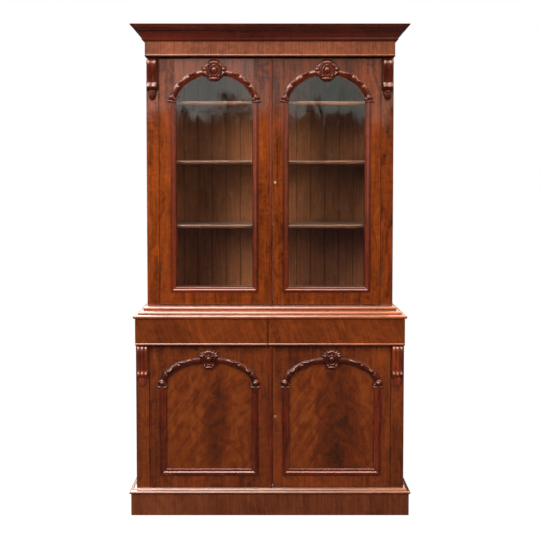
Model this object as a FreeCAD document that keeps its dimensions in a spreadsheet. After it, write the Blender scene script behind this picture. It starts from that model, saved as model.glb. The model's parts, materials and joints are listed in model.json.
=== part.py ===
import FreeCAD, Part
import math
import operator
import os
import types

import Sketcher
from FreeCAD import Rotation, Vector

# Library bookcase in two stages: a cupboard base with two frieze drawers, and a shallower glazed
# upper case.  Millimetres, +Z up, the front faces -Y, and the origin is on the floor at the middle.

SIZES = (
    ("overall_depth", 480, "nose of the plinth moulding to the back"),
    ("base_width", 1292, "outside width of the base case"),
    ("upper_width", 1200, "outside width of the upper case"),
    ("upper_setback", 65, "upper pilaster face behind the base pilaster face"),
    ("side_thickness", 22, "case sides"),
    ("board_thickness", 18, "horizontal boards and shelves"),
    ("pilaster_thickness", 22, "pilasters and the rails between them"),
    ("base_pilaster_width", 63, "pilasters of the base"),
    ("upper_pilaster_width", 60, "pilasters of the upper case"),
    ("back_thickness", 12, "back boards"),
    ("back_inset", 2, "back boards in from the rear edge of the sides"),
    ("back_board_width", 76.2, "one back board from seam to seam"),
    ("back_seam", -8, "place of the middle seam of the back"),
    ("back_shrinkage", 0.6, "open joint between two back boards"),
    ("back_bevel", 2, "bevel on the front edges of a back board"),
    ("seat", 0.3, "clearance where a moving or loose piece lies on a fixed one"),
    ("plinth_height", 105, "plinth boards"),
    ("plinth_thickness", 30, "plinth boards"),
    ("plinth_projection", 23, "plinth boards beyond the base case"),
    ("plinth_moulding_height", 22, "plinth moulding"),
    ("plinth_moulding_projection", 30, "plinth moulding beyond the base case"),
    ("plinth_nose_height", 14, "rounded nose of the plinth moulding"),
    ("plinth_nose_roundness", 6, "how far the nose of the plinth moulding swells"),
    ("door_thickness", 22, "door frames"),
    ("door_gap", 3, "above and below the doors"),
    ("hinge_gap", 2, "between a door and its pilaster"),
    ("meeting_gap", 2, "between the two doors of a pair"),
    ("meeting_place", 13, "where the two doors of a pair meet, right of the middle"),
    ("base_astragal_width", 20, "bead on the meeting stile of the left base door"),
    ("upper_astragal_width", 15, "bead on the meeting stile of the left upper door"),
    ("astragal_projection", 7, "bead on the meeting stile of a left door"),
    ("base_door_height", 690, "base doors"),
    ("base_stile_width", 73.5, "stiles of the right base door"),
    ("base_rail_height", 84, "bottom rail of a base door"),
    ("base_head_height", 81.5, "top rail of a base door over the crown of its arch"),
    ("upper_door_height", 1195, "upper doors"),
    ("upper_stile_width", 70, "stiles of the right upper door"),
    ("upper_rail_height", 81, "bottom rail of an upper door"),
    ("upper_head_height", 73, "top rail of an upper door over the crown of its arch"),
    ("glass_thickness", 3, "glass panes"),
    ("bead_width", 8, "glazing beads"),
    ("panel_thickness", 12, "base door panels"),
    ("panel_recess", 5, "base door panel behind the face of its frame"),
    ("fit", 0.3, "pane or panel inside its frame"),
    ("moulding_lip", 4, "door moulding over the edge of the opening"),
    ("base_moulding_width", 33, "moulding of a base door"),
    ("upper_moulding_width", 26, "moulding of an upper door"),
    ("moulding_projection", 11, "door moulding in front of the frame"),
    ("carving_width", 32, "carved arch"),
    ("carving_projection", 13, "carved arch in front of the frame"),
    ("upper_foot_height", 36, "capital under the carved arch, upper doors"),
    ("base_foot_height", 40, "capital under the carved arch, base doors"),
    ("upper_foot_rise", 8, "bottom of that capital above the foot of the arch, upper doors"),
    ("base_foot_rise", -17, "bottom of that capital above the foot of the arch, base doors"),
    ("upper_cartouche_height", 104, "cartouche on the arch, upper doors"),
    ("base_cartouche_height", 92, "cartouche on the arch, base doors"),
    ("drawer_front_height", 127, "drawer fronts with their bead"),
    ("drawer_front_thickness", 18, "drawer fronts"),
    ("drawer_bead_height", 11, "bead on the lower edge of a drawer front"),
    ("drawer_bead_projection", 3, "bead on the lower edge of a drawer front"),
    ("drawer_split", -10, "joint between the two drawer fronts"),
    ("drawer_lining", 12, "sides, back and front lining of a drawer box"),
    ("drawer_bottom_thickness", 8, "bottom of a drawer box"),
    ("drawer_box_height", 112, "drawer box"),
    ("drawer_box_depth", 380, "drawer box"),
    ("drawer_clearance", 1.5, "between a drawer box and its guides"),
    ("drawer_top_gap", 2, "above a drawer front"),
    ("guide_height", 40, "drawer guides"),
    ("top_overhang", 9, "nose of the base top beyond the case and the drawer fronts"),
    ("waist_height", 35, "waist moulding above the base top"),
    ("waist_projection", 34, "waist moulding beyond the upper case"),
    ("waist_ledge", 37, "flat of the waist moulding in front of the upper case"),
    ("frieze_height", 71, "frieze board with its bead"),
    ("frieze_gap", 5, "between the upper doors and the frieze"),
    ("frieze_projection", 33, "frieze in front of the upper pilasters"),
    ("frieze_bead_height", 11, "bead on the lower edge of the frieze"),
    ("frieze_bead_projection", 3, "bead on the lower edge of the frieze"),
    ("cornice_height", 71, "cornice"),
    ("cornice_projection", 60, "cornice beyond the frieze"),
    ("cornice_backing", 22, "solid wood behind the face of the cornice"),
    ("corbel_width", 56, "carved corbels"),
    ("corbel_height", 206, "carved corbels"),
    ("upper_corbel_depth", 30, "upper corbels at the top"),
    ("base_corbel_depth", 18, "base corbels at the top"),
    ("shelf_setback", 14, "front of a shelf behind the doors"),
    ("shelf_clearance", 1, "between the end of a shelf and the case side"),
    ("shelf_rounding", 6, "rounded front edge of a shelf"),
    ("lower_shelf_height", 1379, "underside of the lowest shelf behind glass"),
    ("middle_shelf_height", 1695, "underside of the middle shelf behind glass"),
    ("top_shelf_height", 1985, "underside of the top shelf behind glass"),
    ("base_shelf_height", 455, "underside of the cupboard shelf"),
    ("bearer_width", 12, "wooden bearers under the ends of a shelf"),
    ("bearer_height", 16, "wooden bearers under the ends of a shelf"),
    ("bearer_inset", 30, "bearer from the front edge of its shelf"),
    ("hinge_height", 76, "butt hinges"),
    ("hinge_end", 120, "end of a door to its nearest hinge"),
    ("leaf_width", 16, "hinge leaves"),
    ("leaf_thickness", 0.85, "hinge leaves"),
    ("knuckle_radius", 2.75, "hinge knuckles"),
    ("knuckle_clearance", 0.4, "round a knuckle and between two knuckles"),
    ("pin_radius", 1.4, "hinge pins"),
    ("pin_clearance", 0.05, "hinge pin in its knuckle"),
    ("lock_height", 60, "lock cases"),
    ("lock_width", 42, "lock cases"),
    ("lock_depth", 11, "lock cases"),
    ("lock_bolt_height", 16, "bolts of the locks"),
    ("lock_bolt_thickness", 5, "bolts of the locks"),
    ("lock_bolt_length", 30, "bolts of the locks"),
    ("lock_throw", 6, "travel of a lock bolt"),
    ("keyhole_inset", 11, "keyhole from the meeting edge"),
    ("keyhole_radius", 2.5, "keyhole"),
    ("escutcheon_width", 12, "keyhole escutcheon"),
    ("escutcheon_thickness", 0.8, "keyhole escutcheon"),
    ("slide_width", 8, "flat slide bolts"),
    ("slide_thickness", 4, "flat slide bolts"),
    ("slide_length", 80, "flat slide bolts"),
    ("slide_throw", 12, "travel of a slide bolt"),
    ("slide_clearance", 0.3, "slide bolt in its guides"),
    ("slide_inset", 32, "slide bolt from the clear edge of the meeting stile"),
    ("slide_plate_width", 18, "plate of a slide bolt"),
    ("slide_plate_thickness", 1.5, "plate of a slide bolt"),
    ("slide_guide_height", 10, "guides of a slide bolt"),
    ("slide_knob_radius", 5, "knob of a slide bolt"),
    ("slide_knob_length", 9, "knob of a slide bolt"),
)

document = FreeCAD.newDocument("Bookcase")
sheet = document.addObject("Spreadsheet::Sheet", "Sizes")
for row, (alias, number, meaning) in enumerate(SIZES, start=1):
    sheet.set(f"A{row}", alias)
    sheet.set(f"B{row}", str(number))
    sheet.setAlias(f"B{row}", alias)
    sheet.set(f"C{row}", meaning)
document.recompute()

SIGNS = {"+": operator.add, "-": operator.sub, "*": operator.mul, "/": operator.truediv}


class Dim:
    """A length known both as a number and as the spreadsheet formula that gives it."""

    def __init__(self, number, formula):
        self.number = number
        self.formula = formula

    def __float__(self):
        return self.number

    def __add__(self, other):
        return combine(self, "+", other)

    def __radd__(self, other):
        return combine(other, "+", self)

    def __sub__(self, other):
        return combine(self, "-", other)

    def __rsub__(self, other):
        return combine(other, "-", self)

    def __mul__(self, other):
        return combine(self, "*", other)

    __rmul__ = __mul__

    def __truediv__(self, other):
        return combine(self, "/", other)

    def __neg__(self):
        return combine(0, "-", self)


def formula_of(value):
    return value.formula if isinstance(value, Dim) else repr(float(value))


def combine(left, sign, right):
    number = SIGNS[sign](float(left), float(right))
    return Dim(number, f"({formula_of(left)} {sign} {formula_of(right)})")


dim = types.SimpleNamespace(**{alias: Dim(float(sheet.get(alias)), "Sizes." + alias)
                               for alias, number, meaning in SIZES})


# ---- places that several pieces share -------------------------------------------------------

back = dim.overall_depth / 2
base_face = dim.plinth_moulding_projection - dim.overall_depth / 2
upper_face = base_face + dim.upper_setback
base_half = dim.base_width / 2
upper_half = dim.upper_width / 2
base_inside = base_half - dim.side_thickness
upper_inside = upper_half - dim.side_thickness
base_frame_rear = base_face + dim.pilaster_thickness
upper_frame_rear = upper_face + dim.pilaster_thickness
base_board_front = base_face + dim.door_thickness + dim.seat
upper_board_front = upper_face + dim.door_thickness + dim.seat
back_boards_rear = back - dim.back_inset
back_boards_front = back_boards_rear - dim.back_thickness

plinth_top = dim.plinth_height
base_rail_top = plinth_top + dim.plinth_moulding_height
base_door_bottom = base_rail_top + dim.door_gap
base_door_top = base_door_bottom + dim.base_door_height
drawer_bottom = base_door_top + dim.door_gap
drawer_top = drawer_bottom + dim.drawer_front_height
base_top = drawer_top + dim.drawer_top_gap
upper_bottom = base_top + dim.board_thickness
waist_top = upper_bottom + dim.waist_height
upper_door_bottom = waist_top + dim.door_gap
upper_door_top = upper_door_bottom + dim.upper_door_height
frieze_bottom = upper_door_top + dim.frieze_gap
frieze_top = frieze_bottom + dim.frieze_height
cornice_top = frieze_top + dim.cornice_height

waist_face = upper_face - dim.waist_ledge
frieze_face = upper_face - dim.frieze_projection
drawer_face = base_face - dim.drawer_front_thickness


# ---- how a piece is drawn -------------------------------------------------------------------

def bind(thing, attribute, value):
    thing.setExpression(attribute, formula_of(value))


def place(thing, x, y, z):
    for axis, value in zip("xyz", (x, y, z)):
        bind(thing, "Placement.Base." + axis, value)
    return thing


def board(name, x, y, z):
    """A square-edged piece; along each axis it runs from one place to another."""
    piece = document.addObject("Part::Box", name)
    for side, (low, high) in zip(("Length", "Width", "Height"), (x, y, z)):
        bind(piece, side, high - low)
    return place(piece, x[0], y[0], z[0])


AXIS_TURNS = {"Y": Rotation(Vector(1, 0, 0), -90), "Z": Rotation()}


def rod(name, x, y, z, radius, length, along="Z"):
    """A round piece that starts at a point and runs along an axis."""
    piece = document.addObject("Part::Cylinder", name)
    piece.Placement = FreeCAD.Placement(Vector(), AXIS_TURNS[along])
    bind(piece, "Radius", radius)
    bind(piece, "Height", length)
    return place(piece, x, y, z)


def faceted_rod(name, x, y, z, radius, length, along="Z"):
    """A rod with twelve flats, for what is repeated often."""
    piece = document.addObject("Part::Prism", name)
    piece.Polygon = 12
    piece.Placement = FreeCAD.Placement(Vector(), AXIS_TURNS[along])
    bind(piece, "Circumradius", radius)
    bind(piece, "Height", length)
    return place(piece, x, y, z)


def cut_away(name, piece, tools):
    """A piece with hollows where the tools were."""
    result = document.addObject("Part::Cut", name)
    result.Base = piece
    result.Tool = tools[0] if len(tools) == 1 else together(name + "_hollows", tools)
    return result


def together(name, pieces):
    """Separate solids that one node holds."""
    result = document.addObject("Part::Compound", name)
    result.Links = pieces
    return result


def joined(name, pieces):
    """Shapes worked in one piece."""
    result = document.addObject("Part::MultiFuse", name)
    result.Shapes = pieces
    return result


def origin_plane(body, role):
    return next(feature for feature in body.Origin.OriginFeatures if feature.Role == role)


def sketch_on(body, name, role, level):
    sketch = body.newObject("Sketcher::SketchObject", name)
    sketch.AttachmentSupport = [(origin_plane(body, role), "")]
    sketch.MapMode = "FlatFace"
    bind(sketch, "AttachmentOffset.Base.z", level)
    return sketch


def fix_point(sketch, edge, end, x, y):
    for kind, value in (("DistanceX", x), ("DistanceY", y)):
        index = sketch.addConstraint(Sketcher.Constraint(kind, edge, end, float(value)))
        bind(sketch, f"Constraints[{index}]", value)


def arc_between(start, finish, radius):
    """The short arc between two points: a positive radius bulges to the right of the way."""
    chord = finish - start
    rise = math.sqrt(max(radius ** 2 - (chord.Length / 2) ** 2, 0))
    aside = Vector(-chord.y, chord.x, 0).normalize() * math.copysign(rise, radius)
    centre = (start + finish) / 2 + aside
    first, last = (start, finish) if radius > 0 else (finish, start)
    angles = [math.atan2(point.y - centre.y, point.x - centre.x) for point in (first, last)]
    circle = Part.Circle(centre, Vector(0, 0, 1), abs(radius))
    return Part.ArcOfCircle(circle, angles[0], angles[1])


def outline(body, name, role, level, corners):
    """A closed sketch.  Corners run anticlockwise; a third value is the radius of the arc to the
    next corner, positive where it bulges outwards and negative where it is hollow."""
    sketch = sketch_on(body, name, role, level)
    points = [Vector(float(corner[0]), float(corner[1]), 0) for corner in corners]
    starts, ends = [], []
    for index, corner in enumerate(corners):
        start, finish = points[index], points[(index + 1) % len(points)]
        if len(corner) == 2:
            sketch.addGeometry(Part.LineSegment(start, finish))
            starts.append(1)
            ends.append(2)
        else:
            sketch.addGeometry(arc_between(start, finish, float(corner[2])))
            starts.append(1 if float(corner[2]) > 0 else 2)
            ends.append(3 - starts[-1])
    for index, corner in enumerate(corners):
        following = (index + 1) % len(corners)
        sketch.addConstraint(Sketcher.Constraint("Coincident", index, ends[index],
                                                 following, starts[following]))
        fix_point(sketch, index, starts[index], corner[0], corner[1])
        if len(corner) == 3:
            radius = corner[2] if float(corner[2]) > 0 else -corner[2]
            limit = sketch.addConstraint(Sketcher.Constraint("Radius", index, float(radius)))
            bind(sketch, f"Constraints[{limit}]", radius)
    return sketch


def new_body(name):
    body = document.addObject("PartDesign::Body", name)
    body.AllowCompound = True
    return body


def pad(body, sketch, length):
    feature = body.newObject("PartDesign::Pad", body.Name + "_pad")
    feature.Profile = sketch
    bind(feature, "Length", length)
    return feature


def prism(name, role, low, high, corners):
    """A body of one section, drawn on an origin plane and running from low to high across it."""
    body = new_body(name)
    level = -high if role == "XZ_Plane" else low
    pad(body, outline(body, name + "_section", role, level, corners), high - low)
    return body


pockets = []


def pocket_down(body, name, level, corners):
    """Cut everything inside an outline, from a level downwards."""
    feature = body.newObject("PartDesign::Pocket", name)
    feature.Profile = outline(body, name + "_outline", "XY_Plane", level, corners)
    feature.Type = "ThroughAll"
    pockets.append(feature)


def mirrored(corners, place_of):
    """A section turned over left to right: place_of gives the new first coordinate."""
    result = []
    for index in reversed(range(len(corners))):
        across, up = corners[index][:2]
        result.append((place_of(across), up) + corners[index - 1][2:])
    return result


def bulge_radius(height, projection):
    """The radius of a bead that stands out by a projection over its height."""
    return (height * height / 4 + projection * projection) / (projection * 2)


def mitred(name, front_section, side_section, half, face, reach, rear, side_backing, top):
    """A moulding round the front and both sides, in three lengths mitred at the corners.
    Sections are drawn as (projection, height) beyond the face."""
    end = half + reach + 1
    front = prism(name + "_front", "YZ_Plane", -(half + reach), half + reach,
                  mirrored(front_section, lambda across: face - across))
    inner = half - side_backing
    for side, mark in ((1, "right"), (-1, "left")):
        corners = [(inner, face + side_backing), (end, face - reach - 1), (end, rear + 1),
                   (inner, rear + 1)]
        if side < 0:
            corners = mirrored(corners, lambda across: -across)
        pocket_down(front, f"{name}_front_{mark}_mitre", top + 1, corners)
    lengths = [front]
    for side, mark in ((1, "right"), (-1, "left")):
        section = [(half + corner[0],) + corner[1:] for corner in side_section]
        corners = [(inner - 1, face - reach - 1), (end, face - reach - 1),
                   (inner - 1, face + side_backing + 1)]
        if side < 0:
            section = mirrored(section, lambda across: -across)
            corners = mirrored(corners, lambda across: -across)
        length = prism(f"{name}_{mark}", "XZ_Plane", face - reach, back, section)
        pocket_down(length, f"{name}_{mark}_mitre", top + 1, corners)
        lengths.append(length)
    return together(name, lengths)


def solid_feature(name, shape, x, y, z):
    """A carved piece, worked at the origin and then put in its place."""
    piece = document.addObject("Part::Feature", name)
    piece.Shape = shape
    return place(piece, x, y, z)


# ---- plinth ---------------------------------------------------------------------------------

def plinth():
    half = base_half + dim.plinth_projection
    front = base_face - dim.plinth_projection
    thickness = dim.plinth_thickness
    height = (Dim(0.0, "0"), plinth_top)
    boards = [
        board("plinth_front", (-half, half), (front, front + thickness), height),
        board("plinth_left", (-half, thickness - half), (front + thickness, back), height),
        board("plinth_right", (half - thickness, half), (front + thickness, back), height),
        board("plinth_rear", (thickness - half, half - thickness), (back - thickness, back), height),
    ]
    together("plinth_frame", boards)

    reach = dim.plinth_moulding_projection
    nose = reach - dim.plinth_nose_roundness
    swell = bulge_radius(dim.plinth_nose_height, dim.plinth_nose_roundness)
    step = plinth_top + dim.plinth_nose_height
    section = [(Dim(0.0, "0"), plinth_top), (nose, plinth_top, swell), (nose, step),
               (reach * 0.45, step), (reach * 0.45, step + 2, dim.plinth_moulding_height * 0.6),
               (reach * 0.1, base_rail_top), (Dim(0.0, "0"), base_rail_top)]
    mitred("plinth_moulding", section, section, base_half, base_face, reach, base_face,
           Dim(0.0, "0"), base_rail_top)


# ---- carcases -------------------------------------------------------------------------------

def back_boards(name, inside, low, high):
    """Vertical boards with bevelled edges; the first and last are cut to the width of the case."""
    body = new_body(name)
    count = 2 * math.ceil(float(inside) / float(dim.back_board_width)) + 1
    first = dim.back_seam - dim.back_board_width * ((count + 1) // 2)
    left, right = first + dim.back_shrinkage / 2, first + dim.back_board_width - dim.back_shrinkage / 2
    front, rear, bevel = back_boards_front, back_boards_rear, dim.back_bevel
    section = [(left, front + bevel), (left + bevel, front), (right - bevel, front),
               (right, front + bevel), (right, rear), (left, rear)]
    single = pad(body, outline(body, name + "_section", "XY_Plane", low, section), high - low)
    row = body.newObject("PartDesign::LinearPattern", name + "_row")
    row.Originals = [single]
    row.Direction = (origin_plane(body, "X_Axis"), [""])
    row.Occurrences = count
    bind(row, "Length", dim.back_board_width * (count - 1))
    body.Tip = row
    reach = dim.back_board_width * (count + 1)
    for mark, near, far in (("left", -inside - reach, -inside), ("right", inside, inside + reach)):
        pocket_down(body, f"{name}_{mark}_trim", high + 1,
                    [(near, front - 1), (far, front - 1), (far, rear + 1), (near, rear + 1)])
    return body


def case_side(name, side, outside, front, low, high):
    near, far = (outside - dim.side_thickness, outside) if side > 0 else (-outside, dim.side_thickness - outside)
    return board(name, (near, far), (front, back), (low, high))


def pilaster(name, side, outside, width, face, low, high, hinges):
    """A flat pilaster, with a notch in its inner edge for the knuckles of each hinge."""
    near, far = (outside - width, outside) if side > 0 else (-outside, width - outside)
    blank = board(name + "_blank", (near, far), (face, face + dim.pilaster_thickness), (low, high))
    axis = (outside - width - dim.hinge_gap / 2) * side
    return cut_away(name, blank, hinge_notches(name, axis, face, hinges))


def hinge_notches(name, axis, face, hinges):
    room = dim.knuckle_radius + dim.knuckle_clearance
    return [board(f"{name}_notch_{number}", (axis - room, axis + room), (face - room, face + room),
                  (low - dim.knuckle_clearance, low + dim.hinge_height + dim.knuckle_clearance))
            for number, low in enumerate(hinges, start=1)]


def shelf(name, inside, front, low):
    """A loose shelf with a rounded front edge."""
    rounding = dim.shelf_rounding
    thickness = dim.board_thickness
    section = [(front, low + rounding), (front + rounding, low), (back_boards_front, low),
               (back_boards_front, low + thickness), (front + rounding, low + thickness, rounding),
               (front, low + thickness - rounding)]
    section[0] = section[0] + (rounding,)
    return prism(name, "YZ_Plane", dim.shelf_clearance - inside, inside - dim.shelf_clearance, section)


def shelf_bearers(name, inside, front, low):
    """Two wooden strips on the case sides, under the ends of a shelf."""
    depth = (front + dim.bearer_inset, back_boards_front)
    height = (low - dim.bearer_height, low)
    return [board(name + "_bearer_left", (-inside, dim.bearer_width - inside), depth, height),
            board(name + "_bearer_right", (inside - dim.bearer_width, inside), depth, height)]


def base_case(hinges):
    for side, mark in ((-1, "left"), (1, "right")):
        case_side(f"base_side_{mark}", side, base_half, base_frame_rear, plinth_top, base_top)
        pilaster(f"base_pilaster_{mark}", side, base_half, dim.base_pilaster_width, base_face,
                 plinth_top, base_top, hinges)
    between = base_half - dim.base_pilaster_width
    board("base_bottom_rail", (-between, between), (base_face, base_frame_rear), (plinth_top, base_rail_top))
    board("base_bottom_board", (-base_inside, base_inside), (base_board_front, back_boards_front),
          (base_door_bottom, base_door_bottom + dim.board_thickness))
    back_boards("base_back_boards", base_inside, plinth_top, base_top)

    dust_board = board("dust_board_blank", (-base_inside, base_inside), (base_board_front, back_boards_front),
                       (base_door_top - dim.board_thickness, base_door_top))
    cut_away("base_dust_board", dust_board, [slide_socket("base_slide_socket", base_face,
             base_door_top - dim.board_thickness - 1)])

    half = dim.drawer_split - dim.side_thickness / 2
    guide = dim.base_pilaster_width - dim.side_thickness
    length = (base_frame_rear, back_boards_front)
    low, high = base_door_top, base_door_top + dim.guide_height
    together("drawer_guides", [
        board("drawer_divider", (half, half + dim.side_thickness), length, (low, base_top)),
        board("drawer_guide_left", (-base_inside, guide - base_inside), length, (low, high)),
        board("drawer_guide_right", (base_inside - guide, base_inside), length, (low, high))])

    shelf("base_shelf", base_inside, base_board_front + dim.shelf_setback, dim.base_shelf_height)
    base_top_board()


def base_top_board():
    """The top of the base; its front and side edges are worked to a round nose."""
    half = base_half + dim.top_overhang
    front = drawer_face - dim.top_overhang
    nose = dim.board_thickness / 2
    body = new_body("base_top_board")
    corners = [(-half, front), (half, front), (half, back), (-half, back)]
    slab = pad(body, outline(body, "base_top_outline", "XY_Plane", base_top, corners), dim.board_thickness)
    document.recompute()
    nosed = []
    for number, edge in enumerate(slab.Shape.Edges, start=1):
        centre = edge.CenterOfMass
        level = abs(edge.BoundBox.ZLength) < 0.01
        if level and abs(centre.y - float(back)) > 1:
            nosed.append(f"Edge{number}")
    rounding = body.newObject("PartDesign::Fillet", "base_top_nose")
    rounding.Base = (slab, nosed)
    bind(rounding, "Radius", nose * 0.94)


def waist_moulding():
    """Two rounded steps with a dark fillet between them, up to the foot of the upper case."""
    reach, height = dim.waist_projection, dim.waist_height
    none = Dim(0.0, "0")
    steps = [(reach, upper_bottom), (reach, upper_bottom + height * 0.11, height * 0.34),
             (reach * 0.65, upper_bottom + height * 0.43), (reach * 0.3, upper_bottom + height * 0.43),
             (reach * 0.3, upper_bottom + height * 0.69), (reach * 0.38, upper_bottom + height * 0.69,
                                                           height * 0.32),
             (reach * 0.06, waist_top)]
    ledge = dim.waist_ledge + dim.pilaster_thickness
    side = [(none, upper_bottom)] + steps + [(none, waist_top)]
    front = [(-ledge, upper_bottom)] + steps + [(-ledge, waist_top)]
    mitred("waist_moulding", front, side, upper_half, waist_face, reach, upper_frame_rear, none, waist_top)


def upper_case(hinges):
    for side, mark in ((-1, "left"), (1, "right")):
        case_side(f"upper_side_{mark}", side, upper_half, upper_frame_rear, upper_bottom, frieze_top)
        pilaster(f"upper_pilaster_{mark}", side, upper_half, dim.upper_pilaster_width, upper_face,
                 waist_top, frieze_top, hinges)
    between = upper_half - dim.upper_pilaster_width
    depth = (upper_board_front, back_boards_front)
    bottom = board("upper_bottom_blank", (-upper_inside, upper_inside), depth,
                   (upper_door_bottom, upper_door_bottom + dim.board_thickness))
    cut_away("upper_bottom_board", bottom, [slide_socket("upper_slide_socket", upper_face,
             upper_door_bottom + dim.board_thickness - dim.slide_throw - 1)])
    board("upper_top_board", (-upper_inside, upper_inside), depth,
          (upper_door_top - dim.board_thickness, upper_door_top))
    board("upper_top_rail", (-between, between), (upper_face, upper_frame_rear), (frieze_bottom, frieze_top))
    back_boards("upper_back_boards", upper_inside, upper_bottom, frieze_top)

    bearers = []
    front = upper_board_front + dim.shelf_setback
    for name, low in (("shelf_lower", dim.lower_shelf_height), ("shelf_middle", dim.middle_shelf_height),
                      ("shelf_top", dim.top_shelf_height)):
        shelf(name, upper_inside, front, low)
        bearers += shelf_bearers(name, upper_inside, front, low)
    bearers += shelf_bearers("base_shelf", base_inside, base_board_front + dim.shelf_setback,
                             dim.base_shelf_height)
    together("shelf_bearers", bearers)


def frieze():
    """A board across the front, with a bead worked along its lower edge."""
    bead = bulge_radius(dim.frieze_bead_height, dim.frieze_bead_projection)
    section = [(frieze_face, frieze_bottom), (upper_face, frieze_bottom), (upper_face, frieze_top),
               (frieze_face, frieze_top), (frieze_face, frieze_bottom + dim.frieze_bead_height, bead)]
    prism("frieze", "YZ_Plane", -upper_half, upper_half, section)


def cornice():
    """An ovolo and a deep hollow under a fillet and a second ovolo; a rail closes the back."""
    reach, height, deep = dim.cornice_projection, dim.cornice_height, -dim.cornice_backing
    section = [(deep, frieze_top), (reach * 0.05, frieze_top, reach * 0.2),
               (reach * 0.22, frieze_top + height * 0.18, -reach * 0.85),
               (reach * 0.58, frieze_top + height * 0.64), (reach * 0.66, frieze_top + height * 0.64),
               (reach * 0.66, frieze_top + height * 0.71, reach * 0.4),
               (reach * 0.96, frieze_top + height * 0.94), (reach, frieze_top + height * 0.94),
               (reach, cornice_top), (deep, cornice_top)]
    rear = frieze_face + dim.cornice_backing
    lengths = mitred("cornice_lengths", section, section, upper_half, frieze_face, reach, rear,
                     dim.cornice_backing, cornice_top)
    inside = upper_half - dim.cornice_backing
    rail = board("cornice_rail", (-inside, inside), (back - dim.side_thickness, back), (frieze_top, cornice_top))
    together("cornice", lengths.Links + [rail])


# ---- carving --------------------------------------------------------------------------------

def flat_faces(corners):
    """One face over three or four corners, or two where four don't lie in one plane."""
    corners = [corner for corner, before in zip(corners, corners[-1:] + corners[:-1])
               if corner.distanceToPoint(before) > 1e-6]
    if len(corners) < 3:
        return []
    normal = (corners[1] - corners[0]).cross(corners[2] - corners[0]).normalize()
    if abs((corners[-1] - corners[0]).dot(normal)) < 1e-6:
        return [Part.Face(Part.makePolygon(corners + corners[:1]))]
    return flat_faces(corners[:3]) + flat_faces([corners[0], corners[2], corners[3]])


def carved_from(slices):
    """A solid with flat faces between slices that all have as many corners; the last may be a point."""
    faces = [Part.Face(Part.makePolygon(slices[0] + slices[0][:1]))]
    if slices[-1][0].distanceToPoint(slices[-1][1]) > 1e-6:
        faces.append(Part.Face(Part.makePolygon(slices[-1] + slices[-1][:1])))
    for near, far in zip(slices, slices[1:]):
        for corner in range(len(near)):
            faces += flat_faces([near[corner - 1], near[corner], far[corner], far[corner - 1]])
    solid = Part.Solid(Part.Shell(faces))
    return solid if solid.Volume > 0 else solid.reversed()


def corbel_section(width, depth, level, lobes):
    """A slice of a corbel: flat at the back, straight at the sides and reeded in front."""
    half, flank, groove = width / 2, depth * 0.55, depth * 0.72
    points = [Vector(half, 0, level), Vector(-half, 0, level), Vector(-half, -flank, level)]
    for lobe in range(lobes):
        left = -half + lobe * width / lobes
        points += [Vector(left + width / lobes * share, -depth, level) for share in (0.3, 0.7)]
        if lobe < lobes - 1:
            points.append(Vector(left + width / lobes, -groove, level))
    points.append(Vector(half, -flank, level))
    return points


def corbel_shape(lobes, width, height, depth):
    """A reeded console: it swells under the top, draws in, rolls out to a scroll and ends in a drop.
    Each slice is (share of the height, share of the depth, share of the width)."""
    console = ((0.0, 0.80, 1.0), (0.08, 1.0, 1.0), (0.18, 0.97, 1.0), (0.44, 0.60, 1.0), (0.54, 0.50, 1.0),
               (0.67, 0.76, 1.0), (0.75, 0.66, 0.98), (0.80, 0.34, 0.86))
    drop = ((0.79, 0.34, 0.60), (0.90, 0.38, 0.56), (1.0, 0.05, 0.12))
    pieces = []
    for rows, reeds in ((console, lobes), (drop, 1)):
        slices = [corbel_section(width * across, depth * out, -height * down, reeds)
                  for down, out, across in rows]
        pieces.append(carved_from(slices))
    return pieces[0].fuse(pieces[1]).removeSplitter()


def corbels(name, lobes, outside, width, face, top, depth):
    shape = corbel_shape(lobes, float(dim.corbel_width), float(dim.corbel_height), float(depth))
    middle = outside - width / 2
    return together(name, [
        solid_feature(name + "_left", shape, -middle, face, top),
        solid_feature(name + "_right", shape, middle, face, top)])


def carved_rail(half, rise, width, projection, start, stations=24):
    """A keeled rail along half an ellipse, from the capital on one side to the capital on the other."""
    section = ((-1, 0), (1, 0), (1, 0.35), (0.25, 0.8), (-1, 0.3))
    wide, tall = half + width / 2, rise + width / 2
    slices = []
    for station in range(stations + 1):
        turn = start + (math.pi - 2 * start) * station / stations
        middle = Vector(wide * math.cos(turn), 0, tall * math.sin(turn))
        out = Vector(tall * math.cos(turn), 0, wide * math.sin(turn)).normalize()
        slices.append([middle + out * (across * width / 2) + Vector(0, -front * projection, 0)
                       for across, front in section])
    return carved_from(slices)


def swelling(x, z, across, out, up, tilt=0.0, sides=8):
    """A carved swelling that rises from the ground of the work to a soft point."""
    turns = [math.tau * (corner + 0.5) / sides for corner in range(sides)]
    shape = carved_from([
        [Vector(across * share * math.cos(turn), -out * level, up * share * math.sin(turn)) for turn in turns]
        for share, level in ((1.0, 0.0), (0.76, 0.66), (0.0, 1.0))])
    shape.rotate(Vector(), Vector(0, 1, 0), tilt)
    shape.translate(Vector(x, 0, z))
    return shape


def cartouche(height, projection):
    """A shield with a boss, a crest over it, a lip under it, and a leaf and a scroll on each side."""
    half = height / 2
    parts = [swelling(0, half * 0.04, half * 0.34, projection * 1.45, half * 0.44),
             swelling(0, half * 0.76, half * 0.44, projection * 1.10, half * 0.26),
             swelling(0, -half * 0.74, half * 0.54, projection * 1.10, half * 0.27)]
    for side in (1, -1):
        parts.append(swelling(side * half * 0.60, -half * 0.46, half * 0.28, projection * 1.2, half * 0.28,
                              sides=6))
        parts.append(swelling(side * half * 0.62, half * 0.38, half * 0.26, projection * 1.1, half * 0.40,
                              side * 50, sides=6))
    shield = swelling(0, 0, half * 0.84, projection * 0.9, half * 0.84, sides=12)
    return shield.multiFuse(parts).removeSplitter()


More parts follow.
